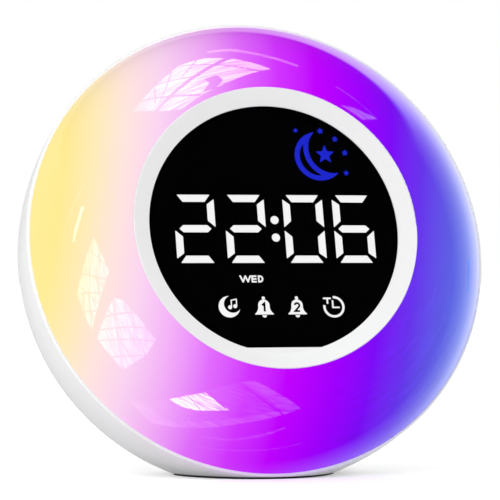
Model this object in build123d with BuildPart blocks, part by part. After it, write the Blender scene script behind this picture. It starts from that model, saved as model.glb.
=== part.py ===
# Sunrise alarm clock: a round light shade around a black display, on a domed shell that leans back.
# Millimetres. X is to the right, the front faces -Y, +Z is up. The origin lies on the table, right
# below the centre of the seam between the shade and the shell.
from build123d import *
from math import atan2, cos, degrees, hypot, radians, sin, sqrt
import os

os.makedirs("parts", exist_ok=True)

# ---------------------------------------------------------------- driving dimensions

# Whole body: the shade and the shell are turned about one axis that leans back.
face_tilt = 16.35        # degrees between the face and the vertical
seam_clear = 1.9         # lowest point of the seam above the table
lip_r = 85.0             # widest radius, the band of the shell behind the seam
lip_depth = 5.0          # width of that straight band
lip_round = 0.9
shell_depth = 70.0       # seam to the crown of the back
side_arc_r = 140.0       # the three arcs of the shell's outline
corner_arc_r = 46.0
crown_arc_r = 160.0
shell_wall = 2.5
shell_foot = 0.8         # height of the shell's flat sole above the table

# Rubber pad under the sole.
pad_inset = 0.45         # the pad ends this deep inside the shell's surface
pad_sunk = 0.8           # depth of the recess that holds it
pad_gap = 0.06

# Clearances.
fit_gap = 0.1            # parts that are pressed or glued in
slip_gap = 0.3           # parts that pass or move by each other
key_gap = 0.3

# Light shade.
shade_step = 0.1         # the shade stands this much inside the shell's rounded edge
shade_wall = 2.0
shade_sagitta = 5.0      # bulge of its outline
shade_rise = 24.9        # seam to the edge around the bezel
spigot_depth = 6.0
spigot_wall = 2.2
ledge_wall = 2.0
ledge_width = 2.7

# Bezel ring and window.
bezel_width = 6.3        # from the window's edge to the shade
bezel_front = 25.2
bezel_round = 0.3
bezel_seat = 20.6        # station of its underside
window_r = 45.7          # visible radius of the window
window_chord = 43.65     # the window is cut flat this far below its centre
bezel_inner = 22.15      # station of the bezel's inner edge
bezel_lip = 0.5
lens_lap = 1.2           # how far the lens reaches under the bezel
lens_thickness = 1.0

# Display stack behind the lens.
film_gap = 0.1
film_thickness = 0.4
frame_thickness = 5.05
pcb = 1.6
led_height = 0.7
guide_gap = 0.4          # between an LED and its light guide
guide_slack = 0.06       # around a light guide in its cavity
guide_recess = 0.2       # light guides end this far behind the lens

# Seven-segment digits, one inch tall.
digit_w = 14.86
digit_h = 25.2
stroke = 2.75
top_outer = 12.2         # outer and inner length of a horizontal segment
top_inner = 8.1
mid_length = 11.8
mid_flat = 8.8
side_tip = 11.0          # a side segment's outer edge, measured from the digit's middle
side_foot = 0.55
side_tip_in = 9.0
side_foot_in = 2.9
segment_round = 0.12
display_u = 0.6          # centre of the digits on the face
display_v = 0.26
digit_inner = 10.82      # from the centre to the inner and outer digits
digit_outer = 29.22
colon_r = 1.55
colon_up = 3.25
# Legends, laid out from a point just beside the face's centre.
legend_u = 0.44
legend_v = 0.47
letter_h = 2.6
letter_stroke = 0.58
letter_gaps = (0.13, 0.22)
w_step = 0.9             # width of one stroke of the W
e_width = 1.55
d_width = 1.4
weekday_left = -14.37
weekday_low = -20.0
note_moon = (-18.9, -28.8)
bell_us = (-6.3, 5.85)
bell_v = -31.7           # level of the bells' rims
timer_spot = (19.4, -29.0)
timer_r = 3.52
timer_stroke = 0.85
night_moon = (18.7, 27.0)
night_moon_r = 9.15
night_bite = (23.95, 29.75)
night_bite_r = 9.1
night_stroke = 1.9
night_star = (20.9, 27.6)
night_star_r = 3.6
small_stars = (          # place and radius of each
    (10.6, 36.6, 1.1),
    (19.8, 36.5, 1.4),
    (25.1, 33.5, 1.35),
    (28.4, 28.3, 1.4),
    (28.3, 20.7, 1.25),
)
shown = ("abged", "abged", "abcdef", "acdefg")   # segments that are lit: 22:06

# Light chambers of the frame, with one LED in each.
chamber_r = 4.8
chamber_margin = 0.7     # around the weekday
star_margin = 0.5
night_chamber_r = 10.0
display_led = 1.2
frame_screw_inset = 2.1
frame_pilot = 3.0

# Light pan, ring of LEDs.
pan_wall = 2.0
pan_back = -4.0          # station of the pan's rear face
pan_rim = 3.5
pan_rim_wall = 1.5
collar_wall = 1.8
board_ledge = 1.5
ledge_reach = 3.5        # of the ledge that carries the display board
board_margin = 4.0       # light board to the pan's rim
collar_margin = 3.0      # light board to the collar
light_boss = 2.5
light_screw_inset = 2.5
light_led_count = 24
light_led = 5.0
light_led_h = 1.6

# Screw posts between the shell and the pan.
post_inset = 19.0        # from the lip to the ring of posts
post_r = 5.0
post_turn = 45.0
screw_seat = -31.0
seat_floor = 3.0         # plastic under the long screws' heads
long_screw = 17.0
long_screw_r = 1.45
long_bite = 0.05         # the long screws' hole is this much wider
long_head_r = 3.0
long_head_h = 2.2
counterbore_gap = 0.5
screw_hole_r = 1.7
pan_boss_r = 4.0
small_screw = 5.0        # screws of boards and speaker
small_screw_r = 0.9
small_head_r = 1.7
small_head_h = 1.2
small_post_r = 2.4
pilot_r = 0.95
pilot_depth = 4.3
screw_clear_r = 1.1      # small screws pass boards through this

# Keys on the back.
key_ring_r = 40.0
key_r = 4.7
key_flange = 1.2
key_rim = 1.2            # the flange is this much wider than the key
key_proud = 1.2
key_round = 0.5
key_mark = 0.3           # depth of the signs in the keys
mark_arm = 2.2           # half height of a sign
mark_bar = 0.7           # width of its strokes
key_first = 20.0         # angle of the first key
land_half = 7.5          # half width of the flat land around the keys
land_over = 12.0         # degrees of land past the outer keys
land_lift = 0.2          # the land, forward of the wall's inside
key_board_lift = 6.8     # from the land to the key board
key_board_in = 7.0       # the board's edges inside and outside the ring of keys
key_board_out = 10.5
key_step = 20.0
key_names = ("alarm_one", "alarm_two", "clock_set", "minus", "plus", "light", "sound", "radio")
stem_r = 1.7
switch_side = 6.0
switch_h = 3.1
switch_round = 0.4
switch_well_r = 2.1
switch_well = 1.6
stem_entry = 0.4         # how far a resting stem reaches into its switch
dome_r = 1.2
dome_h = 0.3

# Snooze bar on top.
snooze_half = 24.0
snooze_front = -20.0
snooze_back = -36.0
snooze_proud = 0.6
snooze_round = 3.0
snooze_thick = 1.8       # the bar's flange and roof
snooze_edge = 0.4
snooze_lap = 1.5         # the bar's flange reaches this far under the housing
snooze_cut = 8.0         # clear height over the board, below the bar
snooze_stem = 9.0
snooze_rib = 1.2
snooze_rib_lift = 3.0    # the ribs stay this far above the stem's tip
snooze_rib_inset = 2.0
snooze_board_drop = 17.1 # from the shell's surface down to the board
snooze_board_w = 9.0

# Speaker.
speaker_r = 25.5
speaker_edge = 5.3       # from the cone's edge to the basket's
speaker_ear = 3.0        # centres of the screw ears, outside the basket
speaker_ear_r = 2.6
speaker_ear_len = 5.0
speaker_stand = 3.25     # height of the seat over the wall's inside
seat_rim = 0.5           # the seat is this much wider than the gasket
basket_sheet = 1.2
basket_depth = 8.8
basket_neck_r = 16.3
basket_hole_ring = 19.0
basket_hole_r = 3.0
magnet_h = 9.2
yoke = 2.0
gasket_thickness = 1.0
gasket_width = 1.6
cone_travel = 0.8
magnet_r = 14.5
magnet_gap_r = 7.4
pole_r = 6.1
grille_rows = 4
grille_hole_r = 1.2
grille_pitch = 5.0

# Power socket and main board.
jack_v = -46.0
jack_w = 9.0
jack_h = 11.0
jack_depth = 14.0
jack_bore_r = 3.0
jack_bore = 9.5
jack_pin_r = 1.0
jack_recess_r = 5.8
jack_floor = 2.0
jack_wall = 2.2          # of the collar around the socket
jack_seat_lift = 2.2     # the socket's front, forward of the wall's inside
main_w = 66.0
main_low = -61.0
main_high = -31.0
main_post_inset = 4.0
chip_h = 1.4
capacitor_r = 4.0
capacitor_h = 9.0
connector_w = 6.0
connector_d = 4.6
connector_h = 5.0
ribbon_socket_h = 2.0
ribbon_socket_w = 15.0
ribbon_socket_d = 3.4

# Wiring.
lead_r = 0.6
lead_pitch = 1.8
lead_bend = 3.0
ribbon_w = 12.0
ribbon_t = 0.3
ribbon_v = -20.0

# Backup cell.
cell_u = -43.0
cell_v = -13.0
cell_r = 10.0
cell_h = 3.2
cell_cup_wall = 1.5
cell_floor_lift = 4.6    # the cup's floor, forward of the wall's inside
cell_rim = 1.5           # the cup's rim over its floor
cell_post_r = 3.2
cell_head_r = 2.0
cell_screw_sink = 1.5
contact_t = 0.4
cover_lap = 1.2          # the cover is this much wider than the cell
cover_tab_r = 3.4
cover_gap = 0.25
cell_screw_drop = 14.5

# ---------------------------------------------------------------- frame of the leaning body

lean = radians(face_tilt)
upward = Vector(0, sin(lean), cos(lean))
forward = Vector(0, -cos(lean), sin(lean))
seam_height = (lip_r - lip_round) * cos(lean) + seam_clear
seam_centre = Vector(0, 0, seam_height)
seam_plane = Plane(origin=seam_centre, x_dir=(1, 0, 0), z_dir=forward)
axis_plane = Plane(origin=seam_centre, x_dir=upward, z_dir=(1, 0, 0))
face_axis = Axis(seam_centre, forward)


def polar(r, angle):
    return (r * cos(radians(angle)), r * sin(radians(angle)))


def at(station):
    # the plane across the axis at a station, forward of the seam when positive
    return seam_plane.offset(station)


def above(height):
    # the plane square to the face's upward line; its local y runs backward
    return Plane(origin=seam_centre + upward * height, x_dir=(1, 0, 0), z_dir=upward)


def spot(u, v, station):
    return seam_plane.from_local_coords(Vector(u, v, station))


# The shell's outline: side arc, corner arc and crown arc, tangent to each other.
side_centre = Vector(lip_r - side_arc_r, -lip_depth)
crown_centre = Vector(0, crown_arc_r - shell_depth)
between = crown_centre - side_centre
side_reach = side_arc_r - corner_arc_r
crown_reach = crown_arc_r - corner_arc_r
along = (side_reach**2 - crown_reach**2 + between.length**2) / (2 * between.length)
aside = sqrt(side_reach**2 - along**2)
across = Vector(between.Y, -between.X).normalized()
corner_centre = side_centre + between.normalized() * along + across * aside
side_turn = degrees(atan2(corner_centre.Y - side_centre.Y, corner_centre.X - side_centre.X))
corner_turn = degrees(atan2(corner_centre.Y - crown_centre.Y, corner_centre.X - crown_centre.X))


def back_station(r, inset=0.0):
    # station of the shell's back at a radius, inset into its wall
    crown_r = crown_arc_r - inset
    if r <= crown_r * cos(radians(corner_turn)):
        return crown_centre.Y - sqrt(crown_r**2 - r**2)
    return corner_centre.Y - sqrt((corner_arc_r - inset) ** 2 - (r - corner_centre.X) ** 2)


def domed_body(inset, sole, edge_round=0.0):
    # the whole volume behind the seam, inset from the outer surface and cut flat at a height
    r = lip_r - inset
    with BuildPart() as body:
        with BuildSketch(axis_plane):
            with BuildLine():
                CenterArc(side_centre, side_arc_r - inset, 0, side_turn)
                CenterArc(corner_centre, corner_arc_r - inset, side_turn, corner_turn - side_turn)
                CenterArc(crown_centre, crown_arc_r - inset, corner_turn, -90 - corner_turn)
                Line((0, inset - shell_depth), (0, 0))
                Line((0, 0), (r - edge_round, 0))
                if edge_round:
                    CenterArc((r - edge_round, -edge_round), edge_round, 0, 90)
                Line((r, -edge_round), (r, -lip_depth))
            make_face()
        revolve(axis=face_axis)
        split(bisect_by=Plane.XY.offset(sole), keep=Keep.TOP)
    return body.part


def sole_outline(inset):
    # the flat sole of the inset body, brought down to the table
    sole = domed_body(inset, shell_foot).faces().filter_by(Plane.XY).sort_by(Axis.Z)[0]
    return sole.moved(Location((0, 0, -shell_foot)))


def shell_radius(station):
    # radius of the shell's side at a station
    side_end = side_centre.Y + side_arc_r * sin(radians(side_turn))
    centre, arc_r = (side_centre, side_arc_r) if station > side_end else (corner_centre, corner_arc_r)
    return centre.X + sqrt(arc_r**2 - (station - centre.Y) ** 2)


outer_body = domed_body(0, shell_foot, lip_round)
inner_body = domed_body(shell_wall, shell_foot + shell_wall)

# ---------------------------------------------------------------- places that pieces share

window_front = bezel_inner - bezel_lip
lens_back = window_front - lens_thickness
film_front = lens_back - film_gap
film_back = film_front - film_thickness
frame_back = film_back - frame_thickness
display_board_back = frame_back - pcb
ledge_back = display_board_back - board_ledge
guide_back = frame_back + led_height + guide_gap
guide_front = lens_back - guide_recess

lens_r = window_r + lens_lap
collar_in_r = lens_r + slip_gap
collar_r = collar_in_r + collar_wall
bezel_r = window_r + bezel_width
shade_top_r = bezel_r + fit_gap
ledge_in_r = shade_top_r - ledge_width
shade_foot_r = lip_r - lip_round - shade_step
spigot_r = lip_r - shell_wall - slip_gap
spigot_in_r = spigot_r - spigot_wall
pan_r = spigot_in_r - slip_gap
board_out_r = pan_r - board_margin
board_in_r = collar_r + collar_margin
post_ring_r = lip_r - post_inset

key_boss_s = back_station(key_ring_r + land_half, shell_wall) + land_lift
key_board_s = key_boss_s + key_board_lift
key_last = key_first + key_step * (len(key_names) - 1)
land_start = key_first - land_over
land_end = key_last + land_over
key_spots = [polar(key_ring_r, key_first + key_step * i) for i in range(len(key_names))]
key_posts = [polar(key_ring_r + land_half, a)
             for a in (key_first + key_step / 2, (key_first + key_last) / 2, key_last - key_step / 2)]
switch_top_s = key_board_s - switch_h
stem_tip_s = switch_top_s + stem_entry

speaker_cone_r = speaker_r - speaker_edge
speaker_ear_ring = speaker_r + speaker_ear
speaker_seat_s = back_station(speaker_r, shell_wall) + speaker_stand
flange_back_s = speaker_seat_s + gasket_thickness
flange_front_s = flange_back_s + basket_sheet
plate_s = flange_front_s + basket_depth
magnet_front_s = plate_s + magnet_h
speaker_ears = [polar(speaker_ear_ring, 45 + 90 * i) for i in range(4)]

jack_seat_s = back_station(-jack_v, shell_wall) + jack_seat_lift
main_back_s = jack_seat_s + jack_depth
main_front_s = main_back_s + pcb
main_mid = (main_low + main_high) / 2
main_posts = [(u, v) for u in (main_post_inset - main_w / 2, main_w / 2 - main_post_inset)
              for v in (main_low + main_post_inset, main_high - main_post_inset)]
connector_spots = {
    "ribbon": (0, main_mid + 10.5),
    "light": (-22, main_mid + 2),
    "speaker": (24, main_mid + 2),
    "keys": (24, main_mid - 5.5),
    "snooze": (-22, main_mid - 5.5),
}

cell_floor_s = back_station(hypot(cell_u, cell_v) + cell_r, shell_wall) + cell_floor_lift
cell_screw_v = cell_v - cell_screw_drop
cell_screw_s = back_station(hypot(cell_u, cell_screw_v)) + cell_screw_sink
cover_r = cell_r + cover_lap

snooze_mid = (snooze_front + snooze_back) / 2
snooze_spot = (0, -snooze_mid)           # u and backward distance
snooze_board_v = shell_radius(snooze_mid) - snooze_board_drop
snooze_post_u = snooze_half + snooze_lap + small_post_r + 1.1
snooze_posts = [(-snooze_post_u, -snooze_mid), (snooze_post_u, -snooze_mid)]
snooze_switch_top = snooze_board_v + pcb + switch_h

digit_us = [display_u + side * reach for side, reach in
            ((-1, digit_outer), (-1, digit_inner), (1, digit_inner), (1, digit_outer))]


def screws(points, seat, drive, length=small_screw, shank_r=small_screw_r,
           head_r=small_head_r, head_h=small_head_h):
    # pan-head screws with their heads on a plane; drive is 1 when they go in along its normal
    with BuildPart() as group:
        with BuildSketch(seat):
            with Locations(*points):
                Circle(head_r)
        extrude(amount=-drive * head_h)
        with BuildSketch(seat):
            with Locations(*points):
                Circle(shank_r)
        extrude(amount=drive * length)
        with BuildSketch(seat.offset(-drive * head_h)):
            with Locations(*points):
                Rectangle(head_r, head_r / 4)
                Rectangle(head_r / 4, head_r)
        extrude(amount=drive * head_h / 2, mode=Mode.SUBTRACT)
    return group


# ---------------------------------------------------------------- rear housing

post_spots = [polar(post_ring_r, post_turn + 90 * i) for i in range(4)]

with BuildPart() as housing_bosses:
    # posts for the long screws
    with BuildSketch(at(screw_seat + seat_floor)):
        with Locations(*post_spots):
            Circle(post_r)
    extrude(amount=-shell_depth)
    # flat land around the keys
    with BuildSketch(at(key_boss_s)):
        with BuildLine():
            for r in (key_ring_r - land_half, key_ring_r + land_half):
                CenterArc((0, 0), r, land_start, land_end - land_start)
            for a in (land_start, land_end):
                Line(polar(key_ring_r - land_half, a), polar(key_ring_r + land_half, a))
        make_face()
    extrude(amount=-shell_depth)
    # posts of the key board
    with BuildSketch(at(key_board_s)):
        with Locations(*key_posts):
            Circle(small_post_r)
    extrude(amount=-shell_depth)
    # seat ring and posts of the speaker
    with BuildSketch(at(speaker_seat_s)):
        Circle(speaker_r + seat_rim)
        Circle(speaker_r - gasket_width, mode=Mode.SUBTRACT)
    extrude(amount=-shell_depth)
    with BuildSketch(at(flange_back_s)):
        with Locations(*speaker_ears):
            Circle(small_post_r)
    extrude(amount=-shell_depth)
    # collar of the power socket and posts of the main board
    with BuildSketch(at(jack_seat_s)):
        with Locations((0, jack_v)):
            Circle(jack_recess_r + jack_wall)
    extrude(amount=-shell_depth)
    with BuildSketch(at(main_back_s)):
        with Locations(*main_posts):
            Circle(small_post_r)
    extrude(amount=-shell_depth)
    # cup of the backup cell with its screw post
    with BuildSketch(at(cell_floor_s + cell_rim)):
        with Locations((cell_u, cell_v)):
            Circle(cell_r + slip_gap + cell_cup_wall)
    extrude(amount=-shell_depth)
    with BuildSketch(at(cell_floor_s)):
        with Locations((cell_u, cell_screw_v)):
            Circle(cell_post_r)
    extrude(amount=-shell_depth)
    # posts of the snooze board
    with BuildSketch(above(snooze_board_v + pcb)):
        with Locations(*snooze_posts):
            Circle(small_post_r)
    extrude(amount=lip_r - snooze_board_v)
    add(outer_body, mode=Mode.INTERSECT)

with BuildPart() as wall_skin:
    add(outer_body)
    add(inner_body, mode=Mode.SUBTRACT)


def cover_outline(grow):
    # a round cover over the cell with a tab for its screw
    with Locations((cell_u, cell_v)):
        Circle(cover_r + grow)
    with Locations((cell_u, cell_v - cell_screw_drop / 2)):
        Rectangle(2 * (cover_tab_r + grow), cell_screw_drop)
    with Locations((cell_u, cell_screw_v)):
        Circle(cover_tab_r + grow)


with BuildPart() as cover_opening:
    with BuildSketch(at(cell_floor_s)):
        cover_outline(cover_gap)
    extrude(amount=-shell_depth)
    add(wall_skin.part, mode=Mode.INTERSECT)

with BuildPart() as base_pad:
    with BuildSketch():
        add(sole_outline(pad_inset))
    extrude(amount=shell_foot + pad_sunk)
base_pad.part.label = "base_pad"
export_step(base_pad.part, "parts/base_pad.step")

with BuildPart() as rear_housing:
    add(outer_body)
    add(inner_body, mode=Mode.SUBTRACT)
    add(housing_bosses.part)
    # counterbores and clearance holes of the long screws
    with BuildSketch(at(screw_seat)):
        with Locations(*post_spots):
            Circle(long_head_r + counterbore_gap)
    extrude(amount=-shell_depth, mode=Mode.SUBTRACT)
    with BuildSketch(at(screw_seat + seat_floor)):
        with Locations(*post_spots):
            Circle(screw_hole_r)
    extrude(amount=-2 * seat_floor, mode=Mode.SUBTRACT)
    # key windows and the snooze window
    with BuildSketch(at(key_boss_s)):
        with Locations(*key_spots):
            Circle(key_r + key_gap)
    extrude(amount=-shell_depth, mode=Mode.SUBTRACT)
    with BuildSketch(above(snooze_board_v + snooze_cut)):
        with Locations((0, -snooze_mid)):
            RectangleRounded(2 * snooze_half, snooze_front - snooze_back, snooze_round)
    extrude(amount=lip_r, mode=Mode.SUBTRACT)
    # sound holes
    with BuildSketch(at(speaker_seat_s)):
        for row in range(grille_rows):
            count = max(1, 6 * row)
            with PolarLocations(row * grille_pitch, count):
                Circle(grille_hole_r)
    extrude(amount=-shell_depth, mode=Mode.SUBTRACT)
    # power socket: a round recess for the plug's grip, then the plug's way in
    with BuildSketch(at(jack_seat_s - jack_floor)):
        with Locations((0, jack_v)):
            Circle(jack_recess_r)
    extrude(amount=-shell_depth, mode=Mode.SUBTRACT)
    with BuildSketch(at(jack_seat_s)):
        with Locations((0, jack_v)):
            Circle(jack_bore_r + fit_gap)
    extrude(amount=-2 * jack_floor, mode=Mode.SUBTRACT)
    # cell cup and its cover's seat
    with BuildSketch(at(cell_floor_s)):
        with Locations((cell_u, cell_v)):
            Circle(cell_r + slip_gap)
    extrude(amount=-shell_depth, mode=Mode.SUBTRACT)
    add(cover_opening.part, mode=Mode.SUBTRACT)
    # recess of the base pad
    with BuildSketch():
        add(sole_outline(pad_inset - pad_gap))
    extrude(amount=shell_foot + pad_sunk, mode=Mode.SUBTRACT)
    # pilot holes of the small screws
    for points, seat, depth in (
        (key_posts, at(key_board_s), -pilot_depth),
        (speaker_ears, at(flange_back_s), -pilot_depth),
        (main_posts, at(main_back_s), -pilot_depth),
        (snooze_posts, above(snooze_board_v + pcb), pilot_depth),
    ):
        with BuildSketch(seat):
            with Locations(*points):
                Circle(pilot_r)
        extrude(amount=depth, mode=Mode.SUBTRACT)
    with BuildSketch(at(cell_screw_s)):
        with Locations((cell_u, cell_screw_v)):
            Circle(pilot_r)
    extrude(amount=small_screw + slip_gap, mode=Mode.SUBTRACT)
rear_housing.part.label = "rear_housing"
export_step(rear_housing.part, "parts/rear_housing.step")

# ---------------------------------------------------------------- light shade and bezel

shade_foot = Vector(shade_foot_r, 0)
shade_top = Vector(shade_top_r, shade_rise)
shade_chord = shade_top - shade_foot
shade_arc_r = (shade_chord.length**2 / 4 + shade_sagitta**2) / (2 * shade_sagitta)
shade_out = Vector(shade_chord.Y, -shade_chord.X).normalized()
shade_centre = (shade_foot + shade_top) * 0.5 - shade_out * (shade_arc_r - shade_sagitta)


def shade_angle(r, arc_r):
    # angle of the point at radius r on the shade's outline or its concentric inside
    x = r - shade_centre.X
    return degrees(atan2(sqrt(arc_r**2 - x**2), x))


def shade_station(r, arc_r):
    return shade_centre.Y + sqrt(arc_r**2 - (r - shade_centre.X) ** 2)


shade_in_arc = shade_arc_r - shade_wall
ledge_out_r = shade_top_r + ledge_wall
shade_low_in = shade_angle(spigot_in_r, shade_in_arc)
foot_angle = degrees(atan2(-shade_centre.Y, shade_foot_r - shade_centre.X))
top_angle = degrees(atan2(shade_rise - shade_centre.Y, shade_top_r - shade_centre.X))
ledge_angle = shade_angle(ledge_out_r, shade_in_arc)

with BuildPart() as shade_spigot:
    with BuildSketch(axis_plane):
        with BuildLine():
            Polyline(
                (spigot_in_r, 0),
                (spigot_in_r, -spigot_depth),
                (spigot_r, -spigot_depth),
                (spigot_r, 0),
                close=True,
            )
        make_face()
    revolve(axis=face_axis)
    split(bisect_by=Plane.XY.offset(shell_foot + shell_wall + slip_gap), keep=Keep.TOP)

with BuildPart() as light_shade:
    with BuildSketch(axis_plane):
        with BuildLine():
            CenterArc(shade_centre, shade_arc_r, foot_angle, top_angle - foot_angle)
            Polyline(
                (shade_top_r, shade_rise),
                (shade_top_r, bezel_seat),
                (ledge_in_r, bezel_seat),
                (ledge_in_r, bezel_seat - ledge_wall),
                (ledge_out_r, bezel_seat - ledge_wall),
                (ledge_out_r, shade_station(ledge_out_r, shade_in_arc)),
            )
            CenterArc(shade_centre, shade_in_arc, ledge_angle, shade_low_in - ledge_angle)
            Polyline(
                (spigot_in_r, shade_station(spigot_in_r, shade_in_arc)),
                (spigot_in_r, 0),
                (shade_foot_r, 0),
            )
        make_face()
    revolve(axis=face_axis)
    add(shade_spigot.part)
light_shade.part.label = "light_shade"
export_step(light_shade.part, "parts/light_shade.step")

with BuildPart() as bezel_ring:
    with BuildSketch(axis_plane):
        with BuildLine() as bezel_outline:
            Polyline(
                (lens_r + fit_gap, bezel_seat),
                (bezel_r, bezel_seat),
                (bezel_r, bezel_front),
                (window_r, bezel_inner),
                (window_r, window_front),
                (lens_r + fit_gap, window_front),
                close=True,
            )
        make_face()
        fillet(bezel_outline.vertices().sort_by(Axis.Y)[-1], radius=bezel_round)
    revolve(axis=face_axis)
    # the ledge that closes the flat bottom of the window
    with BuildSketch(at(window_front)):
        Circle(window_r + lens_lap / 2)
        with Locations((0, window_r - window_chord)):
            Rectangle(3 * window_r, 2 * window_r, mode=Mode.SUBTRACT)
    extrude(amount=bezel_lip)
bezel_ring.part.label = "bezel_ring"
export_step(bezel_ring.part, "parts/bezel_ring.step")

# ---------------------------------------------------------------- display stack

with BuildPart() as display_window:
    with BuildSketch(at(lens_back)):
        Circle(lens_r)
    extrude(amount=lens_thickness)
display_window.part.label = "display_window"
export_step(display_window.part, "parts/display_window.step")

half = digit_h / 2
outer_half = top_outer / 2
inner_half = top_inner / 2
bar = half - stroke
side = digit_w / 2
side_in = side - stroke
segment_points = {
    "a": [(-outer_half, half), (outer_half, half), (inner_half, bar), (-inner_half, bar)],
    "b": [(side, side_foot), (side, side_tip), (side_in, side_tip_in), (side_in, side_foot_in)],
    "g": [(-mid_length / 2, 0), (-mid_flat / 2, stroke / 2), (mid_flat / 2, stroke / 2),
          (mid_length / 2, 0), (mid_flat / 2, -stroke / 2), (-mid_flat / 2, -stroke / 2)],
}
segment_points["d"] = [(x, -y) for x, y in reversed(segment_points["a"])]
segment_points["c"] = [(x, -y) for x, y in reversed(segment_points["b"])]
segment_points["f"] = [(-x, y) for x, y in reversed(segment_points["b"])]
segment_points["e"] = [(-x, -y) for x, y in segment_points["b"]]


def segment_prisms(lit, base, top, grow):
    # the chosen segments of all digits, as prisms between two stations
    with BuildPart() as prisms:
        for u, letters in zip(digit_us, shown):
            for name, points in segment_points.items():
                if lit is not None and (name in letters) != lit:
                    continue
                with BuildSketch(at(base)) as outline:
                    with Locations((u, display_v)):
                        Polygon(*points, align=None)
                    fillet(outline.vertices(), radius=segment_round)
                    offset(amount=grow)
                extrude(amount=top - base)
    return prisms


segments_lit = segment_prisms(True, guide_back, guide_front, -guide_slack)
segments_lit.part.label = "segments_lit"
export_step(segments_lit.part, "parts/segments_lit.step")

segments_dark = segment_prisms(False, guide_back, guide_front, -guide_slack)
segments_dark.part.label = "segments_dark"
export_step(segments_dark.part, "parts/segments_dark.step")

colon_spots = [(display_u, display_v + colon_up), (display_u, display_v - colon_up)]
with BuildPart() as colon_dots:
    with BuildSketch(at(guide_back)):
        with Locations(*colon_spots):
            Circle(colon_r - guide_slack)
    extrude(amount=guide_front - guide_back)
colon_dots.part.label = "colon_dots"
export_step(colon_dots.part, "parts/colon_dots.step")

# Legends are windows in a black film: weekday, status icons, night-light moon with stars.
letter_rise = letter_h - letter_stroke
letter_mid = letter_rise / 2
w_width = 4 * w_step
e_left = w_width + letter_stroke + letter_gaps[0]
d_left = e_left + e_width + letter_stroke + letter_gaps[1]
d_bow = d_left + d_width - letter_mid    # centre of the D's round
weekday_w = d_left + d_width + letter_stroke
weekday_middle = (weekday_left + weekday_w / 2, weekday_low + letter_h / 2)
letter_plane = Plane(origin=(weekday_left + letter_stroke / 2, weekday_low + letter_stroke / 2, 0))

with BuildSketch() as w_outline:
    # the W's outer strokes run on past its height, then all is cut to it
    with BuildLine(letter_plane):
        Polyline(
            (-w_step / 2, 1.5 * letter_rise),
            (w_step, 0),
            (2 * w_step, letter_rise),
            (3 * w_step, 0),
            (w_width + w_step / 2, 1.5 * letter_rise),
        )
    trace(line_width=letter_stroke)
    with Locations(weekday_middle):
        Rectangle(2 * weekday_w, letter_h, mode=Mode.INTERSECT)

with BuildSketch() as weekday_outline:
    with BuildLine(letter_plane):
        Polyline((e_left + e_width, letter_rise), (e_left, letter_rise), (e_left, 0), (e_left + e_width, 0))
        Line((e_left, letter_mid), (e_left + e_width, letter_mid))
        Polyline((d_bow, 0), (d_left, 0), (d_left, letter_rise), (d_bow, letter_rise))
    trace(line_width=letter_stroke)
    with BuildLine(letter_plane):
        CenterArc((d_bow, letter_mid), letter_mid, -90, 180)
    trace(line_width=letter_stroke)
    add(w_outline.sketch)

with BuildSketch() as icon_outline:
    # sleep sounds: a crescent around two beamed notes
    with Locations(note_moon):
        Circle(3.9)
        with Locations((1.26, 0.95)):
            Circle(3.15, mode=Mode.SUBTRACT)
        with Locations((0.25, -0.2), (2.15, 0.2)):
            Circle(0.72)
    with BuildLine(Plane(origin=(*note_moon, 0))):
        Polyline((0.8, -0.1), (0.8, 2.35), (2.7, 2.75), (2.7, 0.3))
    trace(line_width=0.42)
    # timer: a clock ring with hands, and a T in its open quarter
    with BuildLine(Plane(origin=(*timer_spot, 0))):
        CenterArc((0, 0), timer_r, 92, -282)
    trace(line_width=timer_stroke)
    with Locations(timer_spot):
        with Locations((-2.35, 3.1)):
            Rectangle(2.9, 0.62)
        with Locations((-2.25, 2.2)):
            Rectangle(0.62, 2.2)
        with Locations((-0.35, 0.95)):
            Rectangle(0.6, 2.9)
        with Locations((0.75, -0.22)):
            Rectangle(2.8, 0.56)
    # two alarm bells
    for bell_u in bell_us:
        with BuildLine(Plane(origin=(bell_u, bell_v, 0))):
            Polyline((-3.4, 0.3), (-3.4, 0), (3.4, 0), (3.4, 0.3))
            ThreePointArc((3.4, 0.3), (2.45, 1.4), (2.1, 3.2))
            ThreePointArc((2.1, 3.2), (0, 5.45), (-2.1, 3.2))
            ThreePointArc((-2.1, 3.2), (-2.45, 1.4), (-3.4, 0.3))
        make_face()
        with Locations((bell_u, bell_v + 6.0)):
            Circle(0.6)
        with BuildLine(Plane(origin=(bell_u, bell_v - 0.25, 0))):
            CenterArc((0, 0), 0.85, 180, 180)
            Line((-0.85, 0), (0.85, 0))
        make_face()

with BuildSketch() as numeral_outline:
    with BuildLine(Plane(origin=(bell_us[0], bell_v + 2.6, 0))):
        Polyline((-0.7, 0.75), (0.2, 1.45), (0.2, -1.5))
    trace(line_width=0.75)
    with BuildLine(Plane(origin=(bell_us[1], bell_v + 2.6, 0))):
        ThreePointArc((-0.83, 0.8), (0.29, 1.45), (0.69, 0.18))
        Polyline((0.69, 0.18), (-0.8, -1.4), (0.95, -1.4))
    trace(line_width=0.7)


def star_points(r):
    # five points up from a centre, the notches at 0.45 of the radius
    return [polar(r if i % 2 == 0 else 0.45 * r, 90 + 36 * i) for i in range(10)]


with BuildSketch() as crescent_outline:
    with Locations(night_moon):
        Circle(night_moon_r)
    with Locations(night_bite):
        Circle(night_bite_r, mode=Mode.SUBTRACT)

with BuildSketch() as night_outline:
    add(crescent_outline.sketch)
    offset(crescent_outline.sketch, amount=-night_stroke, mode=Mode.SUBTRACT)
    with Locations(night_star):
        Polygon(*star_points(night_star_r), align=None)
    for u, v, r in small_stars:
        with Locations((u, v)):
            Polygon(*star_points(r), align=None)

legend_shift = Location((legend_u, legend_v, 0))

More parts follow.
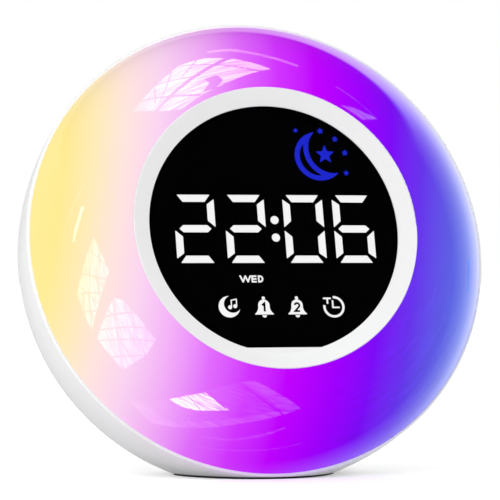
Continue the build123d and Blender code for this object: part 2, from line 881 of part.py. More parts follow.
with BuildPart() as weekday_letters:
    with BuildSketch(at(film_back)):
        add(weekday_outline.sketch.moved(legend_shift))
    extrude(amount=film_thickness)
weekday_letters.part.label = "weekday_letters"
export_step(weekday_letters.part, "parts/weekday_letters.step")

with BuildPart() as status_icons:
    with BuildSketch(at(film_back)):
        add(icon_outline.sketch.moved(legend_shift))
        add(numeral_outline.sketch.moved(legend_shift), mode=Mode.SUBTRACT)
    extrude(amount=film_thickness)
status_icons.part.label = "status_icons"
export_step(status_icons.part, "parts/status_icons.step")

with BuildPart() as night_icon:
    with BuildSketch(at(film_back)):
        add(night_outline.sketch.moved(legend_shift))
    extrude(amount=film_thickness)
night_icon.part.label = "night_icon"
export_step(night_icon.part, "parts/night_icon.step")

segment_cavities = segment_prisms(None, frame_back, lens_back, 0)

with BuildPart() as display_film:
    with BuildSketch(at(film_back)):
        Circle(lens_r)
        for legend in (weekday_outline, icon_outline, night_outline):
            add(legend.sketch.moved(legend_shift), mode=Mode.SUBTRACT)
        add(numeral_outline.sketch.moved(legend_shift))
        with Locations(*colon_spots):
            Circle(colon_r, mode=Mode.SUBTRACT)
    extrude(amount=film_thickness)
    add(segment_cavities.part, mode=Mode.SUBTRACT)
display_film.part.label = "display_film"
export_step(display_film.part, "parts/display_film.step")

icon_chambers = [note_moon, timer_spot, *[(u, bell_v + 2.6) for u in bell_us]]
night_chamber = (night_moon[0] + 1.1, night_moon[1] + 1.4)
star_spots = [(u, v) for u, v, r in small_stars]
frame_screws = [polar(lens_r - frame_screw_inset, 90 + 120 * i) for i in range(3)]

with BuildPart() as display_frame:
    with BuildSketch(at(frame_back)):
        Circle(lens_r)
        with Locations(*colon_spots):
            Circle(colon_r, mode=Mode.SUBTRACT)
        with Locations((legend_u, legend_v)):
            with Locations(*icon_chambers):
                Circle(chamber_r, mode=Mode.SUBTRACT)
            with Locations(weekday_middle):
                RectangleRounded(weekday_w + 2 * chamber_margin, letter_h + 2 * chamber_margin,
                                 chamber_margin, mode=Mode.SUBTRACT)
            with Locations(night_chamber):
                Circle(night_chamber_r, mode=Mode.SUBTRACT)
            for u, v, r in small_stars:
                with Locations((u, v)):
                    Circle(r + star_margin, mode=Mode.SUBTRACT)
    extrude(amount=frame_thickness)
    add(segment_cavities.part, mode=Mode.SUBTRACT)
    with BuildSketch(at(frame_back)):
        with Locations(*frame_screws):
            Circle(pilot_r)
    extrude(amount=frame_pilot, mode=Mode.SUBTRACT)
display_frame.part.label = "display_frame"
export_step(display_frame.part, "parts/display_frame.step")

with BuildPart() as display_board:
    with BuildSketch(at(display_board_back)):
        Circle(lens_r)
        with Locations(*frame_screws):
            Circle(screw_clear_r, mode=Mode.SUBTRACT)
    extrude(amount=pcb)
    # socket of the display's flat cable, on the rear
    with BuildSketch(at(display_board_back)):
        with Locations((0, ribbon_v)):
            Rectangle(ribbon_socket_w, ribbon_socket_d)
    extrude(amount=-ribbon_socket_h)
display_board.part.label = "display_board"
export_step(display_board.part, "parts/display_board.step")

segment_leds = [(sum(x for x, _ in points) / len(points), sum(y for _, y in points) / len(points))
                for points in segment_points.values()]
with BuildPart() as display_leds:
    with BuildSketch(at(frame_back)):
        for u in digit_us:
            with Locations((u, display_v)):
                with Locations(*segment_leds):
                    Rectangle(display_led, display_led)
        with Locations(*colon_spots):
            Rectangle(display_led, display_led)
        with Locations((legend_u, legend_v)):
            with Locations(weekday_middle, night_chamber, *icon_chambers, *star_spots):
                Rectangle(display_led, display_led)
    extrude(amount=led_height)
display_leds.part.label = "display_leds"
export_step(display_leds.part, "parts/display_leds.step")

display_screws = screws(frame_screws, at(ledge_back), 1, pcb + board_ledge + frame_pilot - slip_gap)
display_screws.part.label = "display_screws"
export_step(display_screws.part, "parts/display_screws.step")

# ---------------------------------------------------------------- light pan and its ring of LEDs

light_screws = [polar(board_out_r - light_screw_inset, 30 + 60 * i) for i in range(6)]
light_u, light_v = connector_spots["light"]
lead_hole_v = -sqrt((board_in_r + 2.8) ** 2 - light_u**2)
lead_holes = [(light_u + shift, lead_hole_v) for shift in (-lead_pitch / 2, lead_pitch / 2)]

with BuildPart() as light_pan:
    with BuildSketch(axis_plane):
        with BuildLine():
            Polyline(
                (lens_r - ledge_reach, ledge_back),
                (collar_in_r, ledge_back),
                (collar_in_r, pan_back),
                (pan_r, pan_back),
                (pan_r, pan_back + pan_wall + pan_rim),
                (pan_r - pan_rim_wall, pan_back + pan_wall + pan_rim),
                (pan_r - pan_rim_wall, pan_back + pan_wall),
                (collar_r, pan_back + pan_wall),
                (collar_r, bezel_seat),
                (collar_in_r, bezel_seat),
                (collar_in_r, display_board_back),
                (lens_r - ledge_reach, display_board_back),
                close=True,
            )
        make_face()
    revolve(axis=face_axis)
    # bosses that take the long screws
    with BuildSketch(at(pan_back)):
        with Locations(*post_spots):
            Circle(pan_boss_r)
    extrude(amount=screw_seat + seat_floor - pan_back)
    with BuildSketch(at(screw_seat + seat_floor)):
        with Locations(*post_spots):
            Circle(long_screw_r + long_bite)
    extrude(amount=long_screw - seat_floor + 1, mode=Mode.SUBTRACT)
    # bosses and pilot holes of the light board's screws, and the way of its leads
    with BuildSketch(at(pan_back)):
        with Locations(*light_screws):
            Circle(small_post_r)
    extrude(amount=-light_boss)
    with BuildSketch(at(pan_back + pan_wall)):
        with Locations(*light_screws):
            Circle(pilot_r)
    extrude(amount=-pilot_depth, mode=Mode.SUBTRACT)
    with BuildSketch(at(pan_back)):
        with Locations((light_u, lead_hole_v)):
            SlotCenterToCenter(lead_pitch, 2 * (lead_r + slip_gap))
    extrude(amount=pan_wall, mode=Mode.SUBTRACT)
    with BuildSketch(at(ledge_back)):
        with Locations(*frame_screws):
            Circle(screw_clear_r)
    extrude(amount=board_ledge, mode=Mode.SUBTRACT)
light_pan.part.label = "light_pan"
export_step(light_pan.part, "parts/light_pan.step")

light_board_back = pan_back + pan_wall
light_ring_r = (board_out_r + board_in_r) / 2
with BuildPart() as light_board:
    with BuildSketch(at(light_board_back)):
        Circle(board_out_r)
        Circle(board_in_r, mode=Mode.SUBTRACT)
        with Locations(*light_screws):
            Circle(screw_clear_r, mode=Mode.SUBTRACT)
        with Locations(*lead_holes):
            Circle(lead_r + fit_gap, mode=Mode.SUBTRACT)
    extrude(amount=pcb)
light_board.part.label = "light_board"
export_step(light_board.part, "parts/light_board.step")

with BuildPart() as light_leds:
    with BuildSketch(at(light_board_back + pcb)):
        with PolarLocations(light_ring_r, light_led_count, start_angle=180 / light_led_count):
            Rectangle(light_led, light_led)
    extrude(amount=light_led_h)
    with BuildSketch(at(light_board_back + pcb + light_led_h)):
        with PolarLocations(light_ring_r, light_led_count, start_angle=180 / light_led_count):
            Circle(0.4 * light_led)
    extrude(amount=-0.3, mode=Mode.SUBTRACT)
light_leds.part.label = "light_leds"
export_step(light_leds.part, "parts/light_leds.step")

light_board_screws = screws(light_screws, at(light_board_back + pcb), -1)
light_board_screws.part.label = "light_board_screws"
export_step(light_board_screws.part, "parts/light_board_screws.step")

housing_screws = screws(post_spots, at(screw_seat), 1, long_screw, long_screw_r, long_head_r, long_head_h)
housing_screws.part.label = "housing_screws"
export_step(housing_screws.part, "parts/housing_screws.step")

# ---------------------------------------------------------------- keys and key board

well_floor_s = switch_top_s + switch_well

with BuildPart() as key_board:
    with BuildSketch(at(key_board_s)):
        with BuildLine():
            for r in (key_ring_r - key_board_in, key_ring_r + key_board_out):
                CenterArc((0, 0), r, land_start, land_end - land_start)
            for a in (land_start, land_end):
                Line(polar(key_ring_r - key_board_in, a), polar(key_ring_r + key_board_out, a))
        make_face()
        with Locations(*key_posts):
            Circle(screw_clear_r, mode=Mode.SUBTRACT)
    extrude(amount=pcb)
key_board.part.label = "key_board"
export_step(key_board.part, "parts/key_board.step")

key_board_screws = screws(key_posts, at(key_board_s + pcb), -1)
key_board_screws.part.label = "key_board_screws"
export_step(key_board_screws.part, "parts/key_board_screws.step")

with BuildPart() as tact_switches:
    with BuildSketch(at(switch_top_s)):
        with Locations(*key_spots):
            RectangleRounded(switch_side, switch_side, switch_round)
            Circle(switch_well_r, mode=Mode.SUBTRACT)
    extrude(amount=switch_h)
    with BuildSketch(at(well_floor_s)):
        with Locations(*key_spots):
            Circle(switch_well_r)
    extrude(amount=key_board_s - well_floor_s)
    with BuildSketch(at(well_floor_s)):
        with Locations(*key_spots):
            Circle(dome_r)
    extrude(amount=-dome_h)
tact_switches.part.label = "tact_switches"
export_step(tact_switches.part, "parts/tact_switches.step")

proud_body = domed_body(-key_proud, shell_foot)
print_body = domed_body(key_mark - key_proud, shell_foot)


def key_mark_lines(index):
    # a plain raised-edge sign for each key, as line ends around the key's middle
    plus = [((-mark_arm, 0), (mark_arm, 0)), ((0, -mark_arm), (0, mark_arm))]
    one = [((0, -mark_arm), (0, mark_arm))]
    two = [((x, -mark_arm), (x, mark_arm)) for x in (-0.9, 0.9)]
    frame = [((-1.6, -1.6), (1.6, -1.6)), ((-1.6, 1.6), (1.6, 1.6)),
             ((-1.6, -1.6), (-1.6, 1.6)), ((1.6, -1.6), (1.6, 1.6))]
    minus = plus[:1]
    rays = [(polar(0.9, a), polar(mark_arm, a)) for a in range(0, 360, 60)]
    chevron = [((1.0, -1.8), (-1.0, 0)), ((-1.0, 0), (1.0, 1.8))]
    waves = [((x, -h), (x, h)) for x, h in ((-1.6, 0.8), (0, 2.0), (1.6, 0.8))]
    return (one, two, frame, minus, plus, rays, chevron, waves)[index]


for index, (name, middle) in enumerate(zip(key_names, key_spots)):
    with BuildPart() as key_mark_prism:
        with BuildSketch(at(key_boss_s)):
            with BuildLine(Plane(origin=(*middle, 0))):
                for start, end in key_mark_lines(index):
                    Line(start, end)
            trace(line_width=mark_bar)
        extrude(amount=-shell_depth)
        add(print_body, mode=Mode.SUBTRACT)

    with BuildPart() as key:
        with BuildSketch(at(key_boss_s + key_gap)):
            with Locations(middle):
                Circle(key_r)
        extrude(amount=-shell_depth)
        add(proud_body, mode=Mode.INTERSECT)
        fillet(key.edges().filter_by(GeomType.CIRCLE, reverse=True).sort_by(face_axis)[0], radius=key_round)
        add(key_mark_prism.part, mode=Mode.SUBTRACT)
        with BuildSketch(at(key_boss_s + key_gap)):
            with Locations(middle):
                Circle(key_r + key_rim)
        extrude(amount=key_flange)
        with BuildSketch(at(key_boss_s + key_gap + key_flange)):
            with Locations(middle):
                Circle(stem_r)
        extrude(amount=stem_tip_s - key_boss_s - key_gap - key_flange)
    key.part.label = f"key_{name}"
    export_step(key.part, f"parts/key_{name}.step")

# ---------------------------------------------------------------- snooze bar

snooze_len = snooze_front - snooze_back
snooze_tip = snooze_switch_top - stem_entry
snooze_roof = shell_wall + slip_gap + snooze_thick

with BuildPart() as snooze_flange:
    with BuildSketch(above(snooze_board_v + snooze_cut)):
        with Locations(snooze_spot):
            RectangleRounded(2 * (snooze_half + snooze_lap), snooze_len + 2 * snooze_lap, snooze_round)
    extrude(amount=lip_r)
    add(domed_body(shell_wall + slip_gap, shell_foot), mode=Mode.INTERSECT)
    add(domed_body(snooze_roof, shell_foot), mode=Mode.SUBTRACT)

with BuildPart() as snooze_bar:
    with BuildSketch(above(snooze_board_v + snooze_cut)):
        with Locations(snooze_spot):
            RectangleRounded(2 * (snooze_half - key_gap), snooze_len - 2 * key_gap, snooze_round - key_gap)
    extrude(amount=lip_r)
    add(domed_body(-snooze_proud, shell_foot), mode=Mode.INTERSECT)
    add(domed_body(snooze_roof, shell_foot), mode=Mode.SUBTRACT)
    fillet(snooze_bar.faces().sort_by(Axis(seam_centre, upward))[-1].edges(), radius=snooze_edge)
    add(snooze_flange.part)
    with BuildSketch(above(snooze_tip)):
        with Locations(snooze_spot):
            Circle(stem_r)
    extrude(amount=snooze_stem)
    with BuildSketch(above(snooze_tip + snooze_rib_lift)):
        with Locations(snooze_spot):
            Rectangle(snooze_rib, snooze_len - 2 * snooze_rib_inset)
            Rectangle(2 * (snooze_half - snooze_rib_inset), snooze_rib)
    extrude(amount=snooze_stem - snooze_rib_lift)
snooze_bar.part.label = "snooze_bar"
export_step(snooze_bar.part, "parts/snooze_bar.step")

with BuildPart() as snooze_board:
    with BuildSketch(above(snooze_board_v)):
        with Locations(snooze_spot):
            RectangleRounded(2 * snooze_post_u + snooze_board_w, snooze_board_w, snooze_board_w / 3)
        with Locations(*snooze_posts):
            Circle(screw_clear_r, mode=Mode.SUBTRACT)
    extrude(amount=pcb)
snooze_board.part.label = "snooze_board"
export_step(snooze_board.part, "parts/snooze_board.step")

with BuildPart() as snooze_switch:
    with BuildSketch(above(snooze_board_v + pcb)):
        with Locations(snooze_spot):
            RectangleRounded(switch_side, switch_side, switch_round)
    extrude(amount=switch_h)
    with BuildSketch(above(snooze_switch_top)):
        with Locations(snooze_spot):
            Circle(switch_well_r)
            Circle(dome_r, mode=Mode.SUBTRACT)
    extrude(amount=-switch_well, mode=Mode.SUBTRACT)
    with BuildSketch(above(snooze_switch_top)):
        with Locations(snooze_spot):
            Circle(dome_r)
    extrude(amount=dome_h - switch_well, mode=Mode.SUBTRACT)
snooze_switch.part.label = "snooze_switch"
export_step(snooze_switch.part, "parts/snooze_switch.step")

snooze_board_screws = screws(snooze_posts, above(snooze_board_v), 1)
snooze_board_screws.part.label = "snooze_board_screws"
export_step(snooze_board_screws.part, "parts/snooze_board_screws.step")

# ---------------------------------------------------------------- speaker

cone_rim_s = flange_back_s + 0.3
cone_neck_s = plate_s - 3.0

with BuildPart() as speaker_gasket:
    with BuildSketch(at(speaker_seat_s)):
        Circle(speaker_r)
        Circle(speaker_r - gasket_width, mode=Mode.SUBTRACT)
    extrude(amount=gasket_thickness)
speaker_gasket.part.label = "speaker_gasket"
export_step(speaker_gasket.part, "parts/speaker_gasket.step")

with BuildPart() as speaker_basket:
    with BuildSketch(axis_plane):
        with BuildLine():
            Polyline(
                (speaker_cone_r + 1.4, flange_back_s),
                (speaker_r, flange_back_s),
                (speaker_r, flange_front_s),
                (speaker_cone_r + 2.4, flange_front_s),
                (basket_neck_r, plate_s - 1.0),
                (basket_neck_r, plate_s),
                (magnet_gap_r, plate_s),
                (magnet_gap_r, plate_s - basket_sheet),
                (basket_neck_r - 0.9, plate_s - basket_sheet),
                close=True,
            )
        make_face()
    revolve(axis=face_axis)
    with BuildSketch(at(flange_back_s)):
        with Locations(*speaker_ears):
            Circle(speaker_ear_r)
        with PolarLocations(speaker_ear_ring - speaker_ear_len / 2, 4, start_angle=45):
            Rectangle(speaker_ear_len, 2 * speaker_ear_r)
        Circle(speaker_r - 1, mode=Mode.SUBTRACT)
    extrude(amount=flange_front_s - flange_back_s)
    with BuildSketch(at(flange_front_s + 0.6)):
        with PolarLocations(basket_hole_ring, 6):
            Circle(basket_hole_r)
    extrude(amount=plate_s - flange_front_s - 3, mode=Mode.SUBTRACT)
    with BuildSketch(at(flange_back_s)):
        with Locations(*speaker_ears):
            Circle(screw_clear_r)
    extrude(amount=flange_front_s - flange_back_s, mode=Mode.SUBTRACT)
speaker_basket.part.label = "speaker_basket"
export_step(speaker_basket.part, "parts/speaker_basket.step")

with BuildPart() as speaker_magnet:
    with BuildSketch(axis_plane):
        with BuildLine():
            Polyline(
                (0, plate_s - basket_sheet),
                (pole_r, plate_s - basket_sheet),
                (pole_r, magnet_front_s - yoke),
                (magnet_gap_r + 0.2, magnet_front_s - yoke),
                (magnet_gap_r + 0.2, plate_s),
                (magnet_r, plate_s),
                (magnet_r, magnet_front_s),
                (0, magnet_front_s),
                close=True,
            )
        make_face()
    revolve(axis=face_axis)
speaker_magnet.part.label = "speaker_magnet"
export_step(speaker_magnet.part, "parts/speaker_magnet.step")

coil_in_r = pole_r + 0.4
coil_r = magnet_gap_r - 0.4
coil_front_s = magnet_front_s - yoke - cone_travel - 1.0
with BuildPart() as speaker_cone:
    with BuildSketch(axis_plane):
        with BuildLine():
            Polyline(
                (0, cone_neck_s - 3.0),
                (coil_in_r, cone_neck_s - 0.6),
                (coil_in_r, coil_front_s),
                (coil_r, coil_front_s),
                (coil_r, cone_neck_s),
                (speaker_cone_r, cone_rim_s + 0.5),
                (speaker_cone_r, cone_rim_s),
                (coil_r, cone_neck_s - 1.0),
                (coil_in_r, cone_neck_s - 1.1),
                (0, cone_neck_s - 3.5),
                close=True,
            )
        make_face()
    revolve(axis=face_axis)
speaker_cone.part.label = "speaker_cone"
export_step(speaker_cone.part, "parts/speaker_cone.step")

surround_in_r = speaker_cone_r + slip_gap
surround_roll_r = speaker_cone_r + 2.2
surround_out_r = speaker_r - 1.9
surround_low_s = flange_back_s - 0.4

with BuildPart() as speaker_surround:
    with BuildSketch(axis_plane):
        with BuildLine():
            Polyline(
                (surround_out_r, flange_back_s),
                (surround_out_r, surround_low_s),
                (surround_roll_r, surround_low_s),
            )
            ThreePointArc(
                (surround_roll_r, surround_low_s),
                ((surround_roll_r + surround_in_r) / 2, surround_low_s - 0.8),
                (surround_in_r, surround_low_s),
            )
            Polyline(
                (surround_in_r, surround_low_s),
                (surround_in_r, flange_back_s),
                (surround_out_r, flange_back_s),
            )
        make_face()
    revolve(axis=face_axis)
speaker_surround.part.label = "speaker_surround"
export_step(speaker_surround.part, "parts/speaker_surround.step")

speaker_screws = screws(speaker_ears, at(flange_front_s), -1)
speaker_screws.part.label = "speaker_screws"
export_step(speaker_screws.part, "parts/speaker_screws.step")

# ---------------------------------------------------------------- main board and power socket

with BuildPart() as main_board:
    with BuildSketch(at(main_back_s)):
        with Locations((0, main_mid)):
            RectangleRounded(main_w, main_high - main_low, 2.0)
        with Locations(*main_posts):
            Circle(screw_clear_r, mode=Mode.SUBTRACT)
    extrude(amount=pcb)
main_board.part.label = "main_board"
export_step(main_board.part, "parts/main_board.step")

main_board_screws = screws(main_posts, at(main_front_s), -1)
main_board_screws.part.label = "main_board_screws"
export_step(main_board_screws.part, "parts/main_board_screws.step")

with BuildPart() as power_socket:
    with BuildSketch(at(jack_seat_s)):
        with Locations((0, jack_v)):
            Rectangle(jack_w, jack_h)
    extrude(amount=jack_depth)
    fillet(power_socket.edges().filter_by(Axis(seam_centre, forward)), radius=0.5)
    with BuildSketch(at(jack_seat_s)):
        with Locations((0, jack_v)):
            Circle(jack_bore_r)
    extrude(amount=jack_bore, mode=Mode.SUBTRACT)
power_socket.part.label = "power_socket"
export_step(power_socket.part, "parts/power_socket.step")

with BuildPart() as power_pin:
    with BuildSketch(at(jack_seat_s + 0.5)):
        with Locations((0, jack_v)):
            Circle(jack_pin_r)
    extrude(amount=jack_bore - 0.5)
    chamfer(power_pin.edges().filter_by(GeomType.CIRCLE).sort_by(face_axis)[0], length=0.3)
power_pin.part.label = "power_pin"
export_step(power_pin.part, "parts/power_pin.step")

with BuildPart() as controller_chips:
    with BuildSketch(at(main_front_s)):
        with Locations((0, main_mid)):
            with Locations((-12, -2)):
                Rectangle(12, 12)
            with Locations((14, -4)):
                Rectangle(6, 5)
            with Locations((14, 5)):
                Rectangle(5, 4)
    extrude(amount=chip_h)
controller_chips.part.label = "controller_chips"
export_step(controller_chips.part, "parts/controller_chips.step")

with BuildPart() as board_capacitors:
    with BuildSketch(at(main_back_s)):
        with Locations((0, main_mid)):
            with Locations((-15, -2), (15, -2), (15, 8)):
                Circle(capacitor_r)
    extrude(amount=-capacitor_h)
board_capacitors.part.label = "board_capacitors"
export_step(board_capacitors.part, "parts/board_capacitors.step")

with BuildPart() as board_connectors:
    for name, (u, v) in connector_spots.items():
        with BuildSketch(at(main_front_s)):
            with Locations((u, v)):
                Rectangle(ribbon_socket_w if name == "ribbon" else connector_w, connector_d)
        extrude(amount=connector_h)
board_connectors.part.label = "board_connectors"
export_step(board_connectors.part, "parts/board_connectors.step")

# ---------------------------------------------------------------- backup cell

with BuildPart() as backup_cell:
    with BuildSketch(at(cell_floor_s - contact_t)):
        with Locations((cell_u, cell_v)):
            Circle(cell_r)
    extrude(amount=-cell_h)
    fillet(backup_cell.edges().filter_by(GeomType.CIRCLE), radius=0.3)
backup_cell.part.label = "backup_cell"
export_step(backup_cell.part, "parts/backup_cell.step")

with BuildPart() as cell_contact:
    with BuildSketch(at(cell_floor_s)):
        with Locations((cell_u, cell_v)):
            Rectangle(12, 5)
            Circle(4)
    extrude(amount=-contact_t)
cell_contact.part.label = "cell_contact"
export_step(cell_contact.part, "parts/cell_contact.step")

with BuildPart() as cell_cover:
    with BuildSketch(at(cell_floor_s)):
        cover_outline(0)
    extrude(amount=-shell_depth)
    add(wall_skin.part, mode=Mode.INTERSECT)
    with BuildSketch(at(cell_screw_s)):
        with Locations((cell_u, cell_screw_v)):
            Circle(cell_head_r + slip_gap)
    extrude(amount=-shell_depth, mode=Mode.SUBTRACT)
    with BuildSketch(at(cell_floor_s)):
        with Locations((cell_u, cell_screw_v)):
            Circle(screw_clear_r)
    extrude(amount=-shell_depth, mode=Mode.SUBTRACT)
cell_cover.part.label = "cell_cover"
export_step(cell_cover.part, "parts/cell_cover.step")

cell_screw = screws([(cell_u, cell_screw_v)], at(cell_screw_s), 1, head_r=cell_head_r)
cell_screw.part.label = "cell_screw"
export_step(cell_screw.part, "parts/cell_screw.step")

# ---------------------------------------------------------------- wiring


def lead_pair(points, bend):
    # two insulated wires side by side along the same route
    with BuildPart() as pair:
        for shift in (-lead_pitch / 2, lead_pitch / 2):
            with BuildLine() as route:
                FilletPolyline(*[spot(u + shift, v, station) for u, v, station in points], radius=bend)
            with BuildSketch(Plane(origin=route.line @ 0, z_dir=route.line % 0)):
                Circle(lead_r)
            sweep(path=route.line)
    return pair


connector_top = main_front_s + connector_h

with BuildPart() as display_ribbon:
    with BuildLine() as ribbon_route:
        FilletPolyline(
            spot(0, ribbon_v, display_board_back - ribbon_socket_h),
            spot(0, ribbon_v, connector_top + 14),
            spot(0, connector_spots["ribbon"][1], connector_top + 6),
            spot(0, connector_spots["ribbon"][1], connector_top),
            radius=5,
        )
    with BuildSketch(Plane(origin=ribbon_route.line @ 0, x_dir=(1, 0, 0), z_dir=ribbon_route.line % 0)):
        Rectangle(ribbon_w, ribbon_t)
    sweep(path=ribbon_route.line)
display_ribbon.part.label = "display_ribbon"
export_step(display_ribbon.part, "parts/display_ribbon.step")

light_leads = lead_pair(
    [
        (light_u, lead_hole_v, light_board_back + pcb),
        (light_u, lead_hole_v, pan_back - 16),
        (light_u, light_v, connector_top + 9),
        (light_u, light_v, connector_top),
    ],
    lead_bend,
)
light_leads.part.label = "light_leads"
export_step(light_leads.part, "parts/light_leads.step")

speaker_u, speaker_v = connector_spots["speaker"]
speaker_leads = lead_pair(
    [
        (22.5, -10.5, flange_front_s),
        (22.5, -10.5, flange_front_s + 12),
        (speaker_u, main_high, connector_top + 8),
        (speaker_u, speaker_v, connector_top + 8),
        (speaker_u, speaker_v, connector_top),
    ],
    lead_bend,
)
speaker_leads.part.label = "speaker_leads"
export_step(speaker_leads.part, "parts/speaker_leads.step")

keys_u, keys_v = connector_spots["keys"]
key_leads = lead_pair(
    [
        (key_ring_r, 8.5, key_board_s + pcb),
        (key_ring_r, 8.5, connector_top + 2),
        (keys_u + 4, keys_v + 8, connector_top + 12),
        (keys_u, keys_v, connector_top + 8),
        (keys_u, keys_v, connector_top),
    ],
    lead_bend,
)
key_leads.part.label = "key_leads"
export_step(key_leads.part, "parts/key_leads.step")

snooze_u, snooze_v = connector_spots["snooze"]
snooze_leads = lead_pair(
    [
        (-12, snooze_board_v, snooze_mid),
        (-12, snooze_board_v - 10, snooze_mid),
        (-30, 18, connector_top + 8),
        (-30, -38, connector_top + 6),
        (snooze_u, snooze_v, connector_top + 6),
        (snooze_u, snooze_v, connector_top),
    ],
    lead_bend,
)
snooze_leads.part.label = "snooze_leads"
export_step(snooze_leads.part, "parts/snooze_leads.step")
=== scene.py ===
import math

import bmesh
import bpy
from mathutils import Matrix, Vector


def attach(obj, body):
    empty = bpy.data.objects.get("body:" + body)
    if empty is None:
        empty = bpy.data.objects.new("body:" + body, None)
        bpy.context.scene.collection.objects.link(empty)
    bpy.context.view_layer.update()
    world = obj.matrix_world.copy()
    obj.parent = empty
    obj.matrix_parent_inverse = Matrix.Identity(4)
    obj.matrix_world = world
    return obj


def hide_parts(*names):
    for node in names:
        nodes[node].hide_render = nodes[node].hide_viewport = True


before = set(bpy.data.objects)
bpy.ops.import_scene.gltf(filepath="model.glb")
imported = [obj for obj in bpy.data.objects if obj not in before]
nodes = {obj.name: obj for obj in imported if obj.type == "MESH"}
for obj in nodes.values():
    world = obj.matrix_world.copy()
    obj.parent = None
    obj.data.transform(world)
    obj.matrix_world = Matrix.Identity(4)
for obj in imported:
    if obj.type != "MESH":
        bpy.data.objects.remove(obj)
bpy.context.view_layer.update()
print("clock frame loaded")

# The clock's own axes: right, up along the face, and out of the face. They lean back together.
body = {"lean": math.radians(16.35), "seamHeight": 0.0826}
upward = Vector((0, math.sin(body["lean"]), math.cos(body["lean"])))
forward = Vector((0, -math.cos(body["lean"]), math.sin(body["lean"])))
seamCentre = Vector((0, 0, body["seamHeight"]))
faceMatrix = Matrix((
    (1, upward.x, forward.x, 0),
    (0, upward.y, forward.y, 0),
    (0, upward.z, forward.z, body["seamHeight"]),
    (0, 0, 0, 1),
))


# small helpers


def mm(value):
    return value * 0.001


def srgb(red, green, blue):
    # a screen colour as the linear one that sockets take
    def linear(value):
        value /= 255
        return value / 12.92 if value <= 0.04045 else ((value + 0.055) / 1.055) ** 2.4
    return (linear(red), linear(green), linear(blue), 1)


def newObject(name, mesh):
    thing = bpy.data.objects.new(name, mesh)
    bpy.context.scene.collection.objects.link(thing)
    return thing


def paint(names, material):
    for name in names:
        for place in nodes[name].material_slots:
            place.material = material


# small helpers for node trees


def nodeAt(tree, kind, **values):
    node = tree.nodes.new(kind)
    for key, value in values.items():
        setattr(node, key, value)
    return node


def feed(tree, socket, value):
    # a link where the value is another socket, and a plain value otherwise
    if isinstance(value, bpy.types.NodeSocket):
        tree.links.new(value, socket)
    else:
        socket.default_value = value


def mathNode(tree, operation, *values):
    node = nodeAt(tree, "ShaderNodeMath", operation=operation)
    for socket, value in zip(node.inputs, values):
        feed(tree, socket, value)
    return node.outputs[0]


def mixColor(tree, factor, first, second):
    node = nodeAt(tree, "ShaderNodeMix", data_type="RGBA")
    for index, value in ((0, factor), (6, first), (7, second)):
        feed(tree, node.inputs[index], value)
    return node.outputs[2]


def mapRange(tree, value, low, high, toLow=0.0, toHigh=1.0):
    node = tree.nodes.new("ShaderNodeMapRange")
    for name, number in (("Value", value), ("From Min", low), ("From Max", high), ("To Min", toLow),
                         ("To Max", toHigh)):
        feed(tree, node.inputs[name], number)
    return node.outputs["Result"]


def scaleColor(tree, color, share):
    node = nodeAt(tree, "ShaderNodeVectorMath", operation="SCALE")
    tree.links.new(color, node.inputs[0])
    feed(tree, node.inputs["Scale"], share)
    return node.outputs[0]


def splitVector(tree, vector):
    node = tree.nodes.new("ShaderNodeSeparateXYZ")
    tree.links.new(vector, node.inputs[0])
    return node.outputs


def objectPlace(tree):
    return tree.nodes.new("ShaderNodeTexCoord").outputs["Object"]


def addNoise(tree, vector, scale, detail):
    node = tree.nodes.new("ShaderNodeTexNoise")
    for name, value in (("Vector", vector), ("Scale", scale), ("Detail", detail)):
        feed(tree, node.inputs[name], value)
    return node.outputs["Fac"]


def addGroup(tree, group, values):
    node = nodeAt(tree, "ShaderNodeGroup", node_tree=group)
    for name, value in values.items():
        feed(tree, node.inputs[name], value)
    return node.outputs


def groupSocket(tree, name, kind, side, value=None):
    socket = tree.interface.new_socket(name=name, in_out=side, socket_type="NodeSocket" + kind)
    if value is not None:
        socket.default_value = value


def startGroup(name, kind, sockets):
    # a node group with its sockets, and its input and output nodes
    tree = bpy.data.node_groups.new(name, kind)
    for values in sockets:
        groupSocket(tree, *values)
    return tree, tree.nodes.new("NodeGroupInput").outputs, tree.nodes.new("NodeGroupOutput").inputs


def startMaterial(name):
    material = bpy.data.materials.new(name)
    material.use_nodes = True
    tree = material.node_tree
    return material, tree, tree.nodes["Principled BSDF"]


def startGlow(name, color):
    # a material that only shines, with the socket of its strength
    material, tree, shader = startMaterial(name)
    tree.nodes.remove(shader)
    light = tree.nodes.new("ShaderNodeEmission")
    light.inputs["Color"].default_value = color
    tree.links.new(light.outputs[0], tree.nodes["Material Output"].inputs["Surface"])
    return material, tree, light.inputs["Strength"]


# shader groups

surface = {
    "grainDetail": 3, "slowDetail": 2,         # detail of the grain and of the patches and streaks
    "streakTimes": 4.0, "rubGain": 2.0,
    "rub": (0.2, 0.8), "patch": (0.3, 0.7),    # what the masks span
    "bumpDistance": 0.0002, "bevelSamples": 4, "openSamples": 8,
}


def makeGrainGroup():
    # fine moulded grain with slow patches: a height, a rub mask for gloss and a patch mask for colour
    tree, given, result = startGroup("mouldedGrain", "ShaderNodeTree", (
        ("Vector", "Vector", "INPUT"), ("Grain Scale", "Float", "INPUT", 2500),
        ("Patch Scale", "Float", "INPUT", 30), ("Height", "Float", "OUTPUT"), ("Rub", "Float", "OUTPUT"),
        ("Patch", "Float", "OUTPUT"),
    ))
    place, patchScale = given["Vector"], given["Patch Scale"]
    streakScale = mathNode(tree, "MULTIPLY", patchScale, surface["streakTimes"])
    patch = addNoise(tree, place, patchScale, surface["slowDetail"])
    streak = addNoise(tree, place, streakScale, surface["slowDetail"])
    rub = mathNode(tree, "MULTIPLY", mathNode(tree, "MULTIPLY", patch, streak), surface["rubGain"])
    tree.links.new(addNoise(tree, place, given["Grain Scale"], surface["grainDetail"]), result["Height"])
    tree.links.new(patch, result["Patch"])
    tree.links.new(rub, result["Rub"])
    return tree


